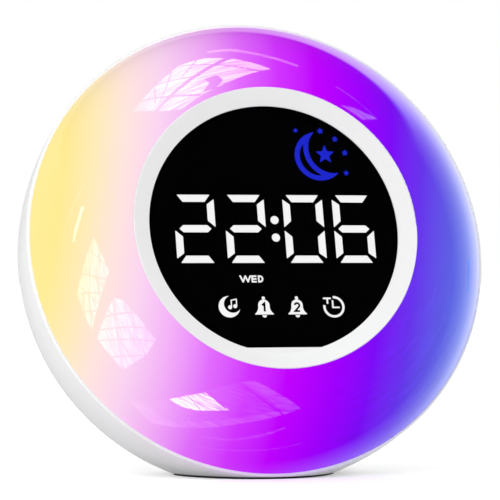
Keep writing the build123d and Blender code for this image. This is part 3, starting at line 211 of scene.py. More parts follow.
def makeEdgeHighlightGroup():
    # painted highlight: a mask that is 1 on sharp outer edges and 0 on flats, for a lighter colour there as
    # if they caught the light
    tree, given, result = startGroup("edgeHighlightMask", "ShaderNodeTree", (
        ("Radius", "Float", "INPUT", 0.0004), ("Contrast", "Float", "INPUT", 6), ("Edge Highlight", "Float", "OUTPUT"),
    ))
    rounded = nodeAt(tree, "ShaderNodeBevel", samples=surface["bevelSamples"])
    tree.links.new(given["Radius"], rounded.inputs["Radius"])
    dot = nodeAt(tree, "ShaderNodeVectorMath", operation="DOT_PRODUCT")
    tree.links.new(rounded.outputs[0], dot.inputs[0])
    tree.links.new(tree.nodes.new("ShaderNodeNewGeometry").outputs["Normal"], dot.inputs[1])
    turned = mathNode(tree, "SUBTRACT", 1.0, dot.outputs["Value"])
    sharp = mathNode(tree, "MULTIPLY", turned, given["Contrast"])
    tree.links.new(mathNode(tree, "MINIMUM", sharp, 1.0), result["Edge Highlight"])
    return tree


def makeRecessShadeGroup():
    # painted shade: a mask that is 1 down in sunk signs, seams and holes, for a darker colour there as if
    # shade fell in them
    tree, given, result = startGroup("recessShadeMask", "ShaderNodeTree", (
        ("Distance", "Float", "INPUT", 0.0006), ("Contrast", "Float", "INPUT", 2),
        ("Recess Shade", "Float", "OUTPUT"),
    ))
    openness = nodeAt(tree, "ShaderNodeAmbientOcclusion", samples=surface["openSamples"], only_local=True)
    tree.links.new(given["Distance"], openness.inputs["Distance"])
    hidden = mathNode(tree, "SUBTRACT", 1.0, openness.outputs["AO"])
    deep = mathNode(tree, "MULTIPLY", hidden, given["Contrast"])
    tree.links.new(mathNode(tree, "MINIMUM", deep, 1.0), result["Recess Shade"])
    return tree


grainGroup = makeGrainGroup()
edgeHighlightGroup = makeEdgeHighlightGroup()
recessShadeGroup = makeRecessShadeGroup()


def faceCoords(tree, turn=0.0):
    # object coordinates laid along the clock's own axes, x turned in the face by an angle
    mapping = nodeAt(tree, "ShaderNodeMapping", vector_type="TEXTURE")
    mapping.inputs["Location"].default_value = seamCentre
    mapping.inputs["Rotation"].default_value = (faceMatrix @ Matrix.Rotation(turn, 4, "Z")).to_euler()
    tree.links.new(objectPlace(tree), mapping.inputs["Vector"])
    return mapping.outputs["Vector"]


def addGrain(tree, vector, grain, patch):
    return addGroup(tree, grainGroup, {"Vector": vector, "Grain Scale": grain, "Patch Scale": patch})


def rubbedGloss(tree, grains, low, high):
    return mapRange(tree, grains["Rub"], *surface["rub"], low, high)


def addBump(tree, shader, height, strength):
    raised = tree.nodes.new("ShaderNodeBump")
    raised.inputs["Strength"].default_value = strength
    raised.inputs["Distance"].default_value = surface["bumpDistance"]
    tree.links.new(height, raised.inputs["Height"])
    tree.links.new(raised.outputs["Normal"], shader.inputs["Normal"])


def finish(name, color, roughness, grain=2500, patch=30, bump=0.02, spread=0.08, tone=0.04, edge=0.0,
           metal=0.0, specular=0.5, recessShade=None):
    # a moulded, pressed or plated surface with fine grain, uneven gloss and slow shifts of tone; where asked,
    # a painted highlight on sharp edges and painted shade down in recesses
    material, tree, shader = startMaterial(name)
    grains = addGrain(tree, objectPlace(tree), grain, patch)
    darker = tuple(c * (1 - 2 * tone) for c in color[:3]) + (1,)
    tint = mixColor(tree, grains["Patch"], darker, color)
    # painted highlight: a lighter colour mixed in on sharp outer edges, as if they caught the light
    if edge:
        highlighted = tuple(min(1, c + edge * (1 - c)) for c in color[:3]) + (1,)
        tint = mixColor(tree, addGroup(tree, edgeHighlightGroup, {})["Edge Highlight"], tint, highlighted)
    # painted shade: a darker colour mixed in down in recesses, seams and holes
    if recessShade:
        distance, contrast, shadow = recessShade
        sunk = addGroup(tree, recessShadeGroup, {"Distance": distance, "Contrast": contrast})
        tint = mixColor(tree, sunk["Recess Shade"], tint, shadow)
    gloss = rubbedGloss(tree, grains, roughness - spread / 2, roughness + spread / 2)
    tree.links.new(tint, shader.inputs["Base Color"])
    tree.links.new(gloss, shader.inputs["Roughness"])
    addBump(tree, shader, grains["Height"], bump)
    shader.inputs["Metallic"].default_value = metal
    shader.inputs["Specular IOR Level"].default_value = specular
    return material, tree, shader, grains


# camera

camera = {
    "place": (-0.3025, -1.0811, 0.08109), "upright": 90, "azimuth": -15.47, "lens": 224.06, "sensor": 36,
    "nearest": 0.01,
}
cameraData = bpy.data.cameras.new("camera")
cameraData.lens = camera["lens"]
cameraData.sensor_width = camera["sensor"]
cameraData.clip_start = camera["nearest"]
cameraObject = newObject("camera", cameraData)
cameraObject.location = camera["place"]
cameraObject.rotation_euler = (math.radians(camera["upright"]), 0, math.radians(camera["azimuth"]))
bpy.context.scene.camera = cameraObject
print("camera placed")


# light shade

shade = {
    "footRadius": 84.0, "topRadius": 52.1, "rise": 24.9, "bulge": 5.0, "wall": 2.0,
    "seatStation": 20.6, "ledgeWidth": 2.7, "ledgeWall": 2.0,
    "spigotRadius": 82.2, "spigotWall": 2.2, "spigotClearance": 0.05, "arcSteps": 48, "segments": 288,
}


def arcPoints(centre, radius, startAngle, endAngle, steps):
    return [
        (centre[0] + radius * math.cos(a), centre[1] + radius * math.sin(a))
        for a in (startAngle + (endAngle - startAngle) * i / steps for i in range(steps + 1))
    ]


def shadeProfile():
    foot = Vector((shade["footRadius"], 0))
    top = Vector((shade["topRadius"], shade["rise"]))
    chord = top - foot
    radius = (chord.length ** 2 / 4 + shade["bulge"] ** 2) / (2 * shade["bulge"])
    out = Vector((chord.y, -chord.x)).normalized()
    centre = (foot + top) / 2 - out * (radius - shade["bulge"])
    footAngle = math.atan2(foot.y - centre.y, foot.x - centre.x)
    topAngle = math.atan2(top.y - centre.y, top.x - centre.x)
    inner = radius - shade["wall"]
    spigotIn = shade["spigotRadius"] - shade["spigotWall"]
    ledgeOut = shade["topRadius"] + shade["ledgeWall"]
    ledgeAngle = math.acos((ledgeOut - centre.x) / inner)
    lowAngle = math.acos((spigotIn - centre.x) / inner)
    seat = shade["seatStation"]
    points = arcPoints(centre, radius, footAngle, topAngle, shade["arcSteps"])
    points += [
        (shade["topRadius"], seat),
        (shade["topRadius"] - shade["ledgeWidth"], seat),
        (shade["topRadius"] - shade["ledgeWidth"], seat - shade["ledgeWall"]),
        (ledgeOut, seat - shade["ledgeWall"]),
    ]
    points += arcPoints(centre, inner, ledgeAngle, lowAngle, shade["arcSteps"] // 2)
    points += [(spigotIn, 0), (shade["spigotRadius"] - shade["spigotClearance"], 0)]
    return points


def profileObject(name, points):
    # a closed outline in radius and station, as a loop of edges
    mesh = bpy.data.meshes.new(name)
    count = len(points)
    mesh.from_pydata([(mm(r), 0, mm(s)) for r, s in points], [(i, (i + 1) % count) for i in range(count)], [])
    return newObject(name, mesh)


# how near points merge, in metres, and the angle past which an edge stays sharp
shapeLimits = {"merge": 0.000001, "weld": 1e-7, "sharpAngle": math.radians(30)}


def outGeometry(tree, geometry, material, socket):
    # plain geometry with its material, as the result of a tree
    realized = tree.nodes.new("GeometryNodeRealizeInstances")
    tree.links.new(geometry, realized.inputs[0])
    surfaced = tree.nodes.new("GeometryNodeSetMaterial")
    tree.links.new(realized.outputs[0], surfaced.inputs["Geometry"])
    tree.links.new(material, surfaced.inputs["Material"])
    tree.links.new(surfaced.outputs[0], socket)


def makeTurnTree():
    # turns an outline about the z axis
    tree, given, result = startGroup("turnedOutline", "GeometryNodeTree", (
        ("Outline", "Geometry", "INPUT"), ("Segments", "Int", "INPUT", 128),
        ("Material", "Material", "INPUT"), ("Shape", "Geometry", "OUTPUT"),
    ))
    size = nodeAt(tree, "GeometryNodeAttributeDomainSize", component="MESH")
    tree.links.new(given["Outline"], size.inputs["Geometry"])
    count = size.outputs["Point Count"]
    rows = mathNode(tree, "ADD", count, 1.0)
    grid = tree.nodes.new("GeometryNodeMeshGrid")
    tree.links.new(mathNode(tree, "ADD", given["Segments"], 1.0), grid.inputs["Vertices X"])
    tree.links.new(rows, grid.inputs["Vertices Y"])
    # vertex number = column * rows + row
    index = tree.nodes.new("GeometryNodeInputIndex").outputs[0]
    row = mathNode(tree, "MODULO", index, rows)
    column = mathNode(tree, "FLOOR", mathNode(tree, "DIVIDE", index, rows))
    angle = mathNode(tree, "MULTIPLY", mathNode(tree, "DIVIDE", column, given["Segments"]), 2 * math.pi)
    sample = nodeAt(tree, "GeometryNodeSampleIndex", data_type="FLOAT_VECTOR", domain="POINT")
    tree.links.new(given["Outline"], sample.inputs["Geometry"])
    tree.links.new(tree.nodes.new("GeometryNodeInputPosition").outputs[0], sample.inputs["Value"])
    tree.links.new(mathNode(tree, "MODULO", row, count), sample.inputs["Index"])
    turned = nodeAt(tree, "ShaderNodeVectorRotate", rotation_type="Z_AXIS")
    tree.links.new(sample.outputs["Value"], turned.inputs["Vector"])
    tree.links.new(angle, turned.inputs["Angle"])
    placed = tree.nodes.new("GeometryNodeSetPosition")
    tree.links.new(grid.outputs["Mesh"], placed.inputs["Geometry"])
    tree.links.new(turned.outputs[0], placed.inputs["Position"])
    merged = tree.nodes.new("GeometryNodeMergeByDistance")
    merged.inputs["Distance"].default_value = shapeLimits["merge"]
    tree.links.new(placed.outputs[0], merged.inputs["Geometry"])
    outGeometry(tree, merged.outputs[0], given["Material"], result["Shape"])
    return tree


def runNodes(thing, tree, values):
    # runs a tree on an object and leaves the plain mesh it makes
    modifier = thing.modifiers.new("shape", "NODES")
    modifier.node_group = tree
    sockets = {s.name: s.identifier for s in tree.interface.items_tree
               if s.item_type == "SOCKET" and s.in_out == "INPUT"}
    for key, value in values.items():
        modifier[sockets[key]] = value
    bpy.context.view_layer.update()
    made = bpy.data.meshes.new_from_object(thing.evaluated_get(bpy.context.evaluated_depsgraph_get()))
    thing.modifiers.remove(modifier)
    thing.data = made


def smoothBySharpness(mesh):
    # smooth faces with the corners kept sharp, and the outside facing out
    work = bmesh.new()
    work.from_mesh(mesh)
    bmesh.ops.remove_doubles(work, verts=work.verts, dist=shapeLimits["weld"])
    bmesh.ops.delete(work, geom=[edge for edge in work.edges if not edge.link_faces], context="EDGES")
    bmesh.ops.recalc_face_normals(work, faces=work.faces)
    for face in work.faces:
        face.smooth = True
    for edge in work.edges:
        if len(edge.link_faces) == 2 and edge.calc_face_angle(0) > shapeLimits["sharpAngle"]:
            edge.smooth = False
    work.to_mesh(mesh)
    work.free()


turnTree = makeTurnTree()

sunrise = {
    "turn": math.radians(-10),       # the bands lean a little to the left at their foot
    "low": -77, "high": 77,          # millimetres along the bands' direction
    "stops": (
        (-76, srgb(255, 233, 146)), (-66, srgb(255, 233, 186)), (-57, srgb(255, 227, 222)),
        (-46, srgb(250, 211, 242)), (-33, srgb(243, 172, 248)), (-19, srgb(226, 108, 253)),
        (-5, srgb(210, 52, 255)), (9, srgb(193, 2, 255)), (27, srgb(158, 0, 255)), (40, srgb(124, 12, 247)),
        (52, srgb(104, 52, 237)), (65, srgb(95, 94, 230)), (76, srgb(96, 118, 233)),
    ),
    "baseShare": 0.2, "glow": 0.85, "gloss": (0.02, 0.05), "specular": 0.5,
    "skinWeight": 1.0, "skinRoughness": 0.03, "skinIOR": 1.5, "rimSheen": 0.1, "rimRoughness": 0.3,
    "grain": 900, "patch": 22, "dimmest": 0.985, "bump": 0.004,
    "arcAcross": 700, "arcAlong": 5, "arcDepth": 0.08, "arcDetail": 2, "arcSpan": (0.3, 0.7),
    "arcRight": (0.015, 0.05), "arcDown": (0.01, -0.03),     # metres over which the arcs come in
}


def glowArcs(tree, axes):
    # faint arcs round the middle in the glow, dimmer and brighter by turns, strongest low on the right
    across, up = axes[0], axes[1]
    squares = mathNode(tree, "ADD", mathNode(tree, "MULTIPLY", across, across),
                       mathNode(tree, "MULTIPLY", up, up))
    polar = tree.nodes.new("ShaderNodeCombineXYZ")
    tree.links.new(mathNode(tree, "MULTIPLY", mathNode(tree, "SQRT", squares), sunrise["arcAcross"]),
                   polar.inputs["X"])
    tree.links.new(mathNode(tree, "MULTIPLY", mathNode(tree, "ARCTAN2", up, across), sunrise["arcAlong"]),
                   polar.inputs["Y"])
    lines = addNoise(tree, polar.outputs[0], 1, sunrise["arcDetail"])
    swing = mapRange(tree, lines, *sunrise["arcSpan"], -sunrise["arcDepth"], sunrise["arcDepth"])
    where = mathNode(tree, "MULTIPLY", mapRange(tree, across, *sunrise["arcRight"]),
                     mapRange(tree, up, *sunrise["arcDown"]))
    return mathNode(tree, "ADD", 1.0, mathNode(tree, "MULTIPLY", where, swing))


def sunriseBands(tree, across):
    # the colours of the bands, from left to right
    bands = mapRange(tree, across, mm(sunrise["low"]), mm(sunrise["high"]))
    ramp = tree.nodes.new("ShaderNodeValToRGB")
    ramp.color_ramp.interpolation = "LINEAR"
    elements = ramp.color_ramp.elements
    while len(elements) < len(sunrise["stops"]):
        elements.new(0.5)
    span = sunrise["high"] - sunrise["low"]
    for element, (place, color) in zip(elements, sunrise["stops"]):
        element.position = (place - sunrise["low"]) / span
        element.color = color
    tree.links.new(bands, ramp.inputs["Fac"])
    return ramp.outputs["Color"]


def makeShadeMaterial():
    material, tree, shader = startMaterial("glowingOpal")
    vector = faceCoords(tree, sunrise["turn"])
    axes = splitVector(tree, vector)
    color = sunriseBands(tree, axes[0])
    # milky plastic scatters a little unevenly
    grains = addGrain(tree, vector, sunrise["grain"], sunrise["patch"])
    patches = mapRange(tree, grains["Patch"], *surface["patch"], sunrise["dimmest"], 1.0)
    dim = mathNode(tree, "MULTIPLY", patches, glowArcs(tree, axes))
    tree.links.new(scaleColor(tree, color, dim), shader.inputs["Emission Color"])
    tree.links.new(scaleColor(tree, color, sunrise["baseShare"]), shader.inputs["Base Color"])
    tree.links.new(rubbedGloss(tree, grains, *sunrise["gloss"]), shader.inputs["Roughness"])
    addBump(tree, shader, grains["Height"], sunrise["bump"])
    # the glow, and a polished clear skin over the milky body
    for name, key in (("Emission Strength", "glow"), ("Specular IOR Level", "specular"),
                      ("Coat Weight", "skinWeight"), ("Coat Roughness", "skinRoughness"),
                      ("Coat IOR", "skinIOR"), ("Sheen Weight", "rimSheen"),
                      ("Sheen Roughness", "rimRoughness")):
        shader.inputs[name].default_value = sunrise[key]
    return material


shadeMaterial = makeShadeMaterial()
glowShade = profileObject("glowShade", shadeProfile())
runNodes(glowShade, turnTree, {"Segments": shade["segments"], "Material": shadeMaterial})
glowShade.data.transform(faceMatrix)
smoothBySharpness(glowShade.data)
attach(glowShade, "clock")
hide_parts("light_shade")
print("light shade turned")


# finishes of the carried-over nodes

# the shell's painted shade: a grey mixed in down in its seams, holes and sunk signs
whiteShell = finish("whiteShell", (0.89, 0.89, 0.895, 1), 0.3, grain=1800, patch=18, bump=0.03, tone=0.01,
                    spread=0.04, recessShade=(0.001, 0.5, (0.6, 0.6, 0.61, 1)))[0]
paint(("rear_housing", "cell_cover", "snooze_bar"), whiteShell)

bezelFinish = finish("bezelSatin", (0.85, 0.85, 0.85, 1), 0.42, grain=3000, patch=25, bump=0.03, tone=0.01,
                     specular=0.3)[0]
paint(("bezel_ring",), bezelFinish)

# the keys' painted shade: a near-black mixed in down in the gaps round them and in their sunk signs, where it
# also stands for the signs' dark fill
keyFinish = finish("keySatin", (0.84, 0.84, 0.845, 1), 0.34, grain=2600,
                   recessShade=(0.0006, 2.6, (0.16, 0.16, 0.17, 1)))[0]
behindKeys = ("key_board", "key_board_screws", "key_leads")
paint([name for name in nodes if name.startswith("key_") and name not in behindKeys], keyFinish)

smoke = {
    "grain": 400, "patch": 20, "gloss": (0.03, 0.06), "dark": (0, 0, 0, 1), "pale": (0.001, 0.001, 0.0012, 1),
    "alpha": 0.3, "specular": 0.08,
}


def makeWindow():
    # smoked acrylic: dark, clear and polished
    material, tree, shader = startMaterial("smokedWindow")
    grains = addGrain(tree, faceCoords(tree), smoke["grain"], smoke["patch"])
    tree.links.new(rubbedGloss(tree, grains, *smoke["gloss"]), shader.inputs["Roughness"])
    tree.links.new(mixColor(tree, grains["Patch"], smoke["dark"], smoke["pale"]), shader.inputs["Base Color"])
    shader.inputs["Alpha"].default_value = smoke["alpha"]
    shader.inputs["Specular IOR Level"].default_value = smoke["specular"]
    return material


paint(("display_window",), makeWindow())


def shareOf(color, share):
    return tuple(share * c for c in color[:3]) + (1,)


lit = {"bodyShare": 0.3, "dimShare": 0.97, "roughness": 0.5, "grain": 1500, "specular": 0.1}


def makeLit(name, color, glow):
    # a milky light guide that shines a little unevenly
    material, tree, shader, grains = finish(name, shareOf(color, lit["bodyShare"]), lit["roughness"],
                                            grain=lit["grain"], specular=lit["specular"])
    tree.links.new(mixColor(tree, grains["Patch"], shareOf(color, lit["dimShare"]), color),
                   shader.inputs["Emission Color"])
    shader.inputs["Emission Strength"].default_value = glow
    return material


paint(("segments_lit", "colon_dots", "weekday_letters", "status_icons"),
      makeLit("litWhite", srgb(236, 236, 236), 2.1))
paint(("night_icon",), makeLit("litBlue", srgb(33, 44, 226), 1.43))
paint(("segments_dark", "display_film"),
      finish("blackFilm", (0.0015, 0.0015, 0.0015, 1), 0.6, bump=0.01, specular=0.05)[0])

plainFinishes = {
    "blackPlastic": ((0.02, 0.02, 0.021, 1), 0.45,
                     ("display_frame", "power_socket", "tact_switches", "snooze_switch", "controller_chips")),
    "padRubber": ((0.018, 0.018, 0.019, 1), 0.75, ("base_pad",)),
    "softFoam": ((0.02, 0.02, 0.02, 1), 0.9, ("speaker_gasket",)),
    "surroundRubber": ((0.015, 0.015, 0.015, 1), 0.6, ("speaker_surround",)),
    "paperCone": ((0.05, 0.05, 0.052, 1), 0.8, ("speaker_cone",)),
    "reflectorWhite": ((0.85, 0.85, 0.85, 1), 0.6, ("light_pan",)),
    "solderMask": ((0.02, 0.14, 0.06, 1), 0.4, ("display_board", "key_board", "main_board", "snooze_board")),
    "coatedBoard": ((0.8, 0.8, 0.8, 1), 0.5, ("light_board",)),
    "ledPackage": ((0.85, 0.8, 0.5, 1), 0.35, ("light_leds", "display_leds")),
    "nylon": ((0.8, 0.76, 0.62, 1), 0.5, ("board_connectors",)),
    "ribbon": ((0.8, 0.8, 0.8, 1), 0.45, ("display_ribbon",)),
    "redLead": ((0.45, 0.02, 0.02, 1), 0.45, ("light_leads",)),
    "blackLead": ((0.02, 0.02, 0.02, 1), 0.45, ("speaker_leads",)),
    "greyLead": ((0.25, 0.25, 0.26, 1), 0.45, ("key_leads", "snooze_leads")),
}
# each plain finish gets a faint painted highlight on its sharp edges
plainLook = {"bump": 0.05, "edge": 0.05}
for name, (color, roughness, used) in plainFinishes.items():
    paint(used, finish(name, color, roughness, **plainLook)[0])

# the metal parts get a stronger painted highlight on their sharp edges
metalLook = {"grain": 1200, "bump": 0.04, "metal": 1.0, "edge": 0.2}
zincFinish = finish("zincScrew", (0.62, 0.62, 0.63, 1), 0.35, **metalLook)[0]
paint([name for name in nodes if name.endswith("_screws") or name == "cell_screw"], zincFinish)

metalFinishes = {
    "basketSteel": ((0.5, 0.5, 0.51, 1), 0.4, ("speaker_basket",)),
    "magnetSteel": ((0.1, 0.1, 0.105, 1), 0.5, ("speaker_magnet",)),
    "platedPin": ((0.75, 0.72, 0.66, 1), 0.2, ("power_pin", "cell_contact")),
    "capacitorCan": ((0.35, 0.35, 0.4, 1), 0.35, ("board_capacitors",)),
    "cellSteel": ((0.7, 0.7, 0.7, 1), 0.28, ("backup_cell",)),
}
for name, (color, roughness, used) in metalFinishes.items():
    paint(used, finish(name, color, roughness, **metalLook)[0])
print("finishes set")


# Screws with ring threads and a cross drive. Sizes are in millimetres, places are across and up the face,
# and the heads face the back.
screwSets = {
    "postScrews": {
        "replaces": "housing_screws", "seat": -31.0,
        "places": ((46.67, 46.67), (-46.67, 46.67), (-46.67, -46.67), (46.67, -46.67)),
        "headRadius": 3.0, "headHeight": 2.2, "shankRadius": 1.45, "length": 17.0, "pitch": 1.0,
    },
    "coverScrew": {
        "replaces": "cell_screw", "seat": -60.14, "places": ((-43.0, -27.5),),
        "headRadius": 2.0, "headHeight": 1.2, "shankRadius": 0.9, "length": 5.0, "pitch": 0.6,
    },
}

screwShape = {
    # shares of the head's radius and height, from the middle of the head to its underside
    "head": ((0, -1), (0.62, -1), (0.84, -0.88), (0.97, -0.62), (1, -0.4), (1, -0.06), (0.97, 0)),
    # shares of the shank's radius, then of the pitch; the tip's length is in millimetres
    "root": 0.8, "tip": 0.45, "firstTurn": 0.4, "rootLength": 0.3, "crest": 0.6, "lastTurn": 1.2,
    "tipLength": 0.1,
    # shares of the head's radius and height, and the cut's own height in metres
    "driveWidth": 0.3, "driveLength": 1.1, "driveFloor": 0.45, "driveTool": 0.01,
    "segments": 40,
}


def screwProfile(values):
    # half outline from the middle of the head to the tip: radius and height
    shank, pitch, length = values["shankRadius"], values["pitch"], values["length"]
    root = screwShape["root"] * shank
    points = [(r * values["headRadius"], h * values["headHeight"]) for r, h in screwShape["head"]]
    points.append((shank, 0))
    place = screwShape["firstTurn"] * pitch
    while place < length - screwShape["lastTurn"] * pitch:
        points += [(root, place), (root, place + screwShape["rootLength"] * pitch),
                   (shank, place + screwShape["crest"] * pitch)]
        place += pitch
    points += [(root, place), (screwShape["tip"] * shank, length - screwShape["tipLength"]), (0, length)]
    return points


def makeScrewTree():
    # cuts the drive into one screw and sets copies of it at points, each turned by its own amount
    tree, given, result = startGroup("setScrews", "GeometryNodeTree", (
        ("Places", "Geometry", "INPUT"), ("Screw", "Object", "INPUT"),
        ("Drive Width", "Float", "INPUT", 0.0008), ("Drive Length", "Float", "INPUT", 0.003),
        ("Drive Floor", "Float", "INPUT", -0.0012), ("Seed", "Int", "INPUT", 4),
        ("Material", "Material", "INPUT"), ("Screws", "Geometry", "OUTPUT"),
    ))
    source = tree.nodes.new("GeometryNodeObjectInfo")
    tree.links.new(given["Screw"], source.inputs["Object"])
    cut = nodeAt(tree, "GeometryNodeMeshBoolean", operation="DIFFERENCE", solver="EXACT")
    tree.links.new(source.outputs["Geometry"], cut.inputs["Mesh 1"])
    for first, second in (("Drive Length", "Drive Width"), ("Drive Width", "Drive Length")):
        size = tree.nodes.new("ShaderNodeCombineXYZ")
        for axis, value in (("X", given[first]), ("Y", given[second]), ("Z", screwShape["driveTool"])):
            feed(tree, size.inputs[axis], value)
        slot = tree.nodes.new("GeometryNodeMeshCube")
        tree.links.new(size.outputs[0], slot.inputs["Size"])
        lift = tree.nodes.new("ShaderNodeCombineXYZ")
        tree.links.new(mathNode(tree, "SUBTRACT", given["Drive Floor"], screwShape["driveTool"] / 2),
                       lift.inputs["Z"])
        placed = tree.nodes.new("GeometryNodeTransform")
        tree.links.new(slot.outputs["Mesh"], placed.inputs["Geometry"])
        tree.links.new(lift.outputs[0], placed.inputs["Translation"])
        tree.links.new(placed.outputs[0], cut.inputs["Mesh 2"])
    turn = nodeAt(tree, "FunctionNodeRandomValue", data_type="FLOAT")
    turn.inputs[3].default_value = math.pi / 2
    tree.links.new(given["Seed"], turn.inputs["Seed"])
    euler = tree.nodes.new("ShaderNodeCombineXYZ")
    tree.links.new(turn.outputs[1], euler.inputs["Z"])
    rotation = tree.nodes.new("FunctionNodeEulerToRotation")
    tree.links.new(euler.outputs[0], rotation.inputs[0])
    copies = tree.nodes.new("GeometryNodeInstanceOnPoints")
    tree.links.new(given["Places"], copies.inputs["Points"])
    tree.links.new(cut.outputs["Mesh"], copies.inputs["Instance"])
    tree.links.new(rotation.outputs[0], copies.inputs["Rotation"])
    outGeometry(tree, copies.outputs[0], given["Material"], result["Screws"])
    return tree


def makeScrews(name, values, tree, material):
    single = profileObject(name + "Single", screwProfile(values))
    runNodes(single, turnTree, {"Segments": screwShape["segments"], "Material": material})
    smoothBySharpness(single.data)
    mesh = bpy.data.meshes.new(name)
    mesh.from_pydata([(mm(across), mm(up), mm(values["seat"])) for across, up in values["places"]], [], [])
    screws = newObject(name, mesh)
    runNodes(screws, tree, {
        "Screw": single, "Drive Width": mm(screwShape["driveWidth"] * values["headRadius"]),
        "Drive Length": mm(screwShape["driveLength"] * values["headRadius"]),
        "Drive Floor": mm(-screwShape["driveFloor"] * values["headHeight"]), "Material": material,
    })
    bpy.data.objects.remove(single)
    screws.data.transform(faceMatrix)
    smoothBySharpness(screws.data)
    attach(screws, "clock")
    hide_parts(values["replaces"])


screwTree = makeScrewTree()
for name, values in screwSets.items():
    makeScrews(name, values, screwTree, zincFinish)
print("screws set")


# studio: floor, lamps, world and the windows that the gloss shows

studio = {
    "floorHalf": 6.0, "floorColor": (0.88, 0.88, 0.88, 1), "floorRoughness": 0.7, "floorSpecular": 0.1,
    # the floor's glow near by and far off, and the metres from the clock over which it changes
    "glow": (0.34, 1.0), "glowReach": (0.08, 0.3),
    "ambient": 0.62,
    # where the white of the world starts and is full, for gloss: behind, below and at the right
    "whiteBehind": (-0.1, 0.55), "whiteBelow": (0.58, 0.64), "whiteSideways": (0.2, 0.6), "leftShare": 0.3,
    # place, aim, size and power
    "lamps": {
        "keyLamp": ((-1.1, -1.3, 1.5), (0, 0, 0.08), (1.2, 1.2), 15),
        "fillLamp": ((1.4, -0.9, 0.9), (0, 0, 0.08), (1.2, 1.2), 7.8),
        "backLamp": ((0.2, 1.6, 1.2), (0, 0, 0.08), (1.6, 1.0), 3.8),
        "sideLamp": ((-1.5, 0.0, 0.4), (0, 0, 0.06), (1.2, 0.9), 8.6),
    },
}


def makeFloor():
    # pale floor: it takes the clock's shadow near by and is plain white further off
    half = studio["floorHalf"]
    corners = [(-half, -half, 0), (half, -half, 0), (half, half, 0), (-half, half, 0)]
    mesh = bpy.data.meshes.new("studioFloor")
    mesh.from_pydata(corners, [], [(0, 1, 2, 3)])
    material, tree, shader = startMaterial("studioFloor")
    shader.inputs["Base Color"].default_value = studio["floorColor"]
    shader.inputs["Roughness"].default_value = studio["floorRoughness"]
    shader.inputs["Specular IOR Level"].default_value = studio["floorSpecular"]
    path = tree.nodes.new("ShaderNodeLightPath").outputs
    seen = mathNode(tree, "MAXIMUM", path["Is Camera Ray"], path["Is Transmission Ray"])
    away = nodeAt(tree, "ShaderNodeVectorMath", operation="LENGTH")
    tree.links.new(objectPlace(tree), away.inputs[0])
    glow = mapRange(tree, away.outputs["Value"], *studio["glowReach"], *studio["glow"])
    shader.inputs["Emission Color"].default_value = (1, 1, 1, 1)
    tree.links.new(mathNode(tree, "MULTIPLY", seen, glow), shader.inputs["Emission Strength"])
    # gloss looks through the floor, so that no horizon is drawn across the dome
    blend = tree.nodes.new("ShaderNodeMixShader")
    tree.links.new(path["Is Glossy Ray"], blend.inputs[0])
    tree.links.new(shader.outputs[0], blend.inputs[1])
    tree.links.new(tree.nodes.new("ShaderNodeBsdfTransparent").outputs[0], blend.inputs[2])
    tree.links.new(blend.outputs[0], tree.nodes["Material Output"].inputs["Surface"])
    mesh.materials.append(material)
    floor = newObject("studioFloor", mesh)


makeFloor()


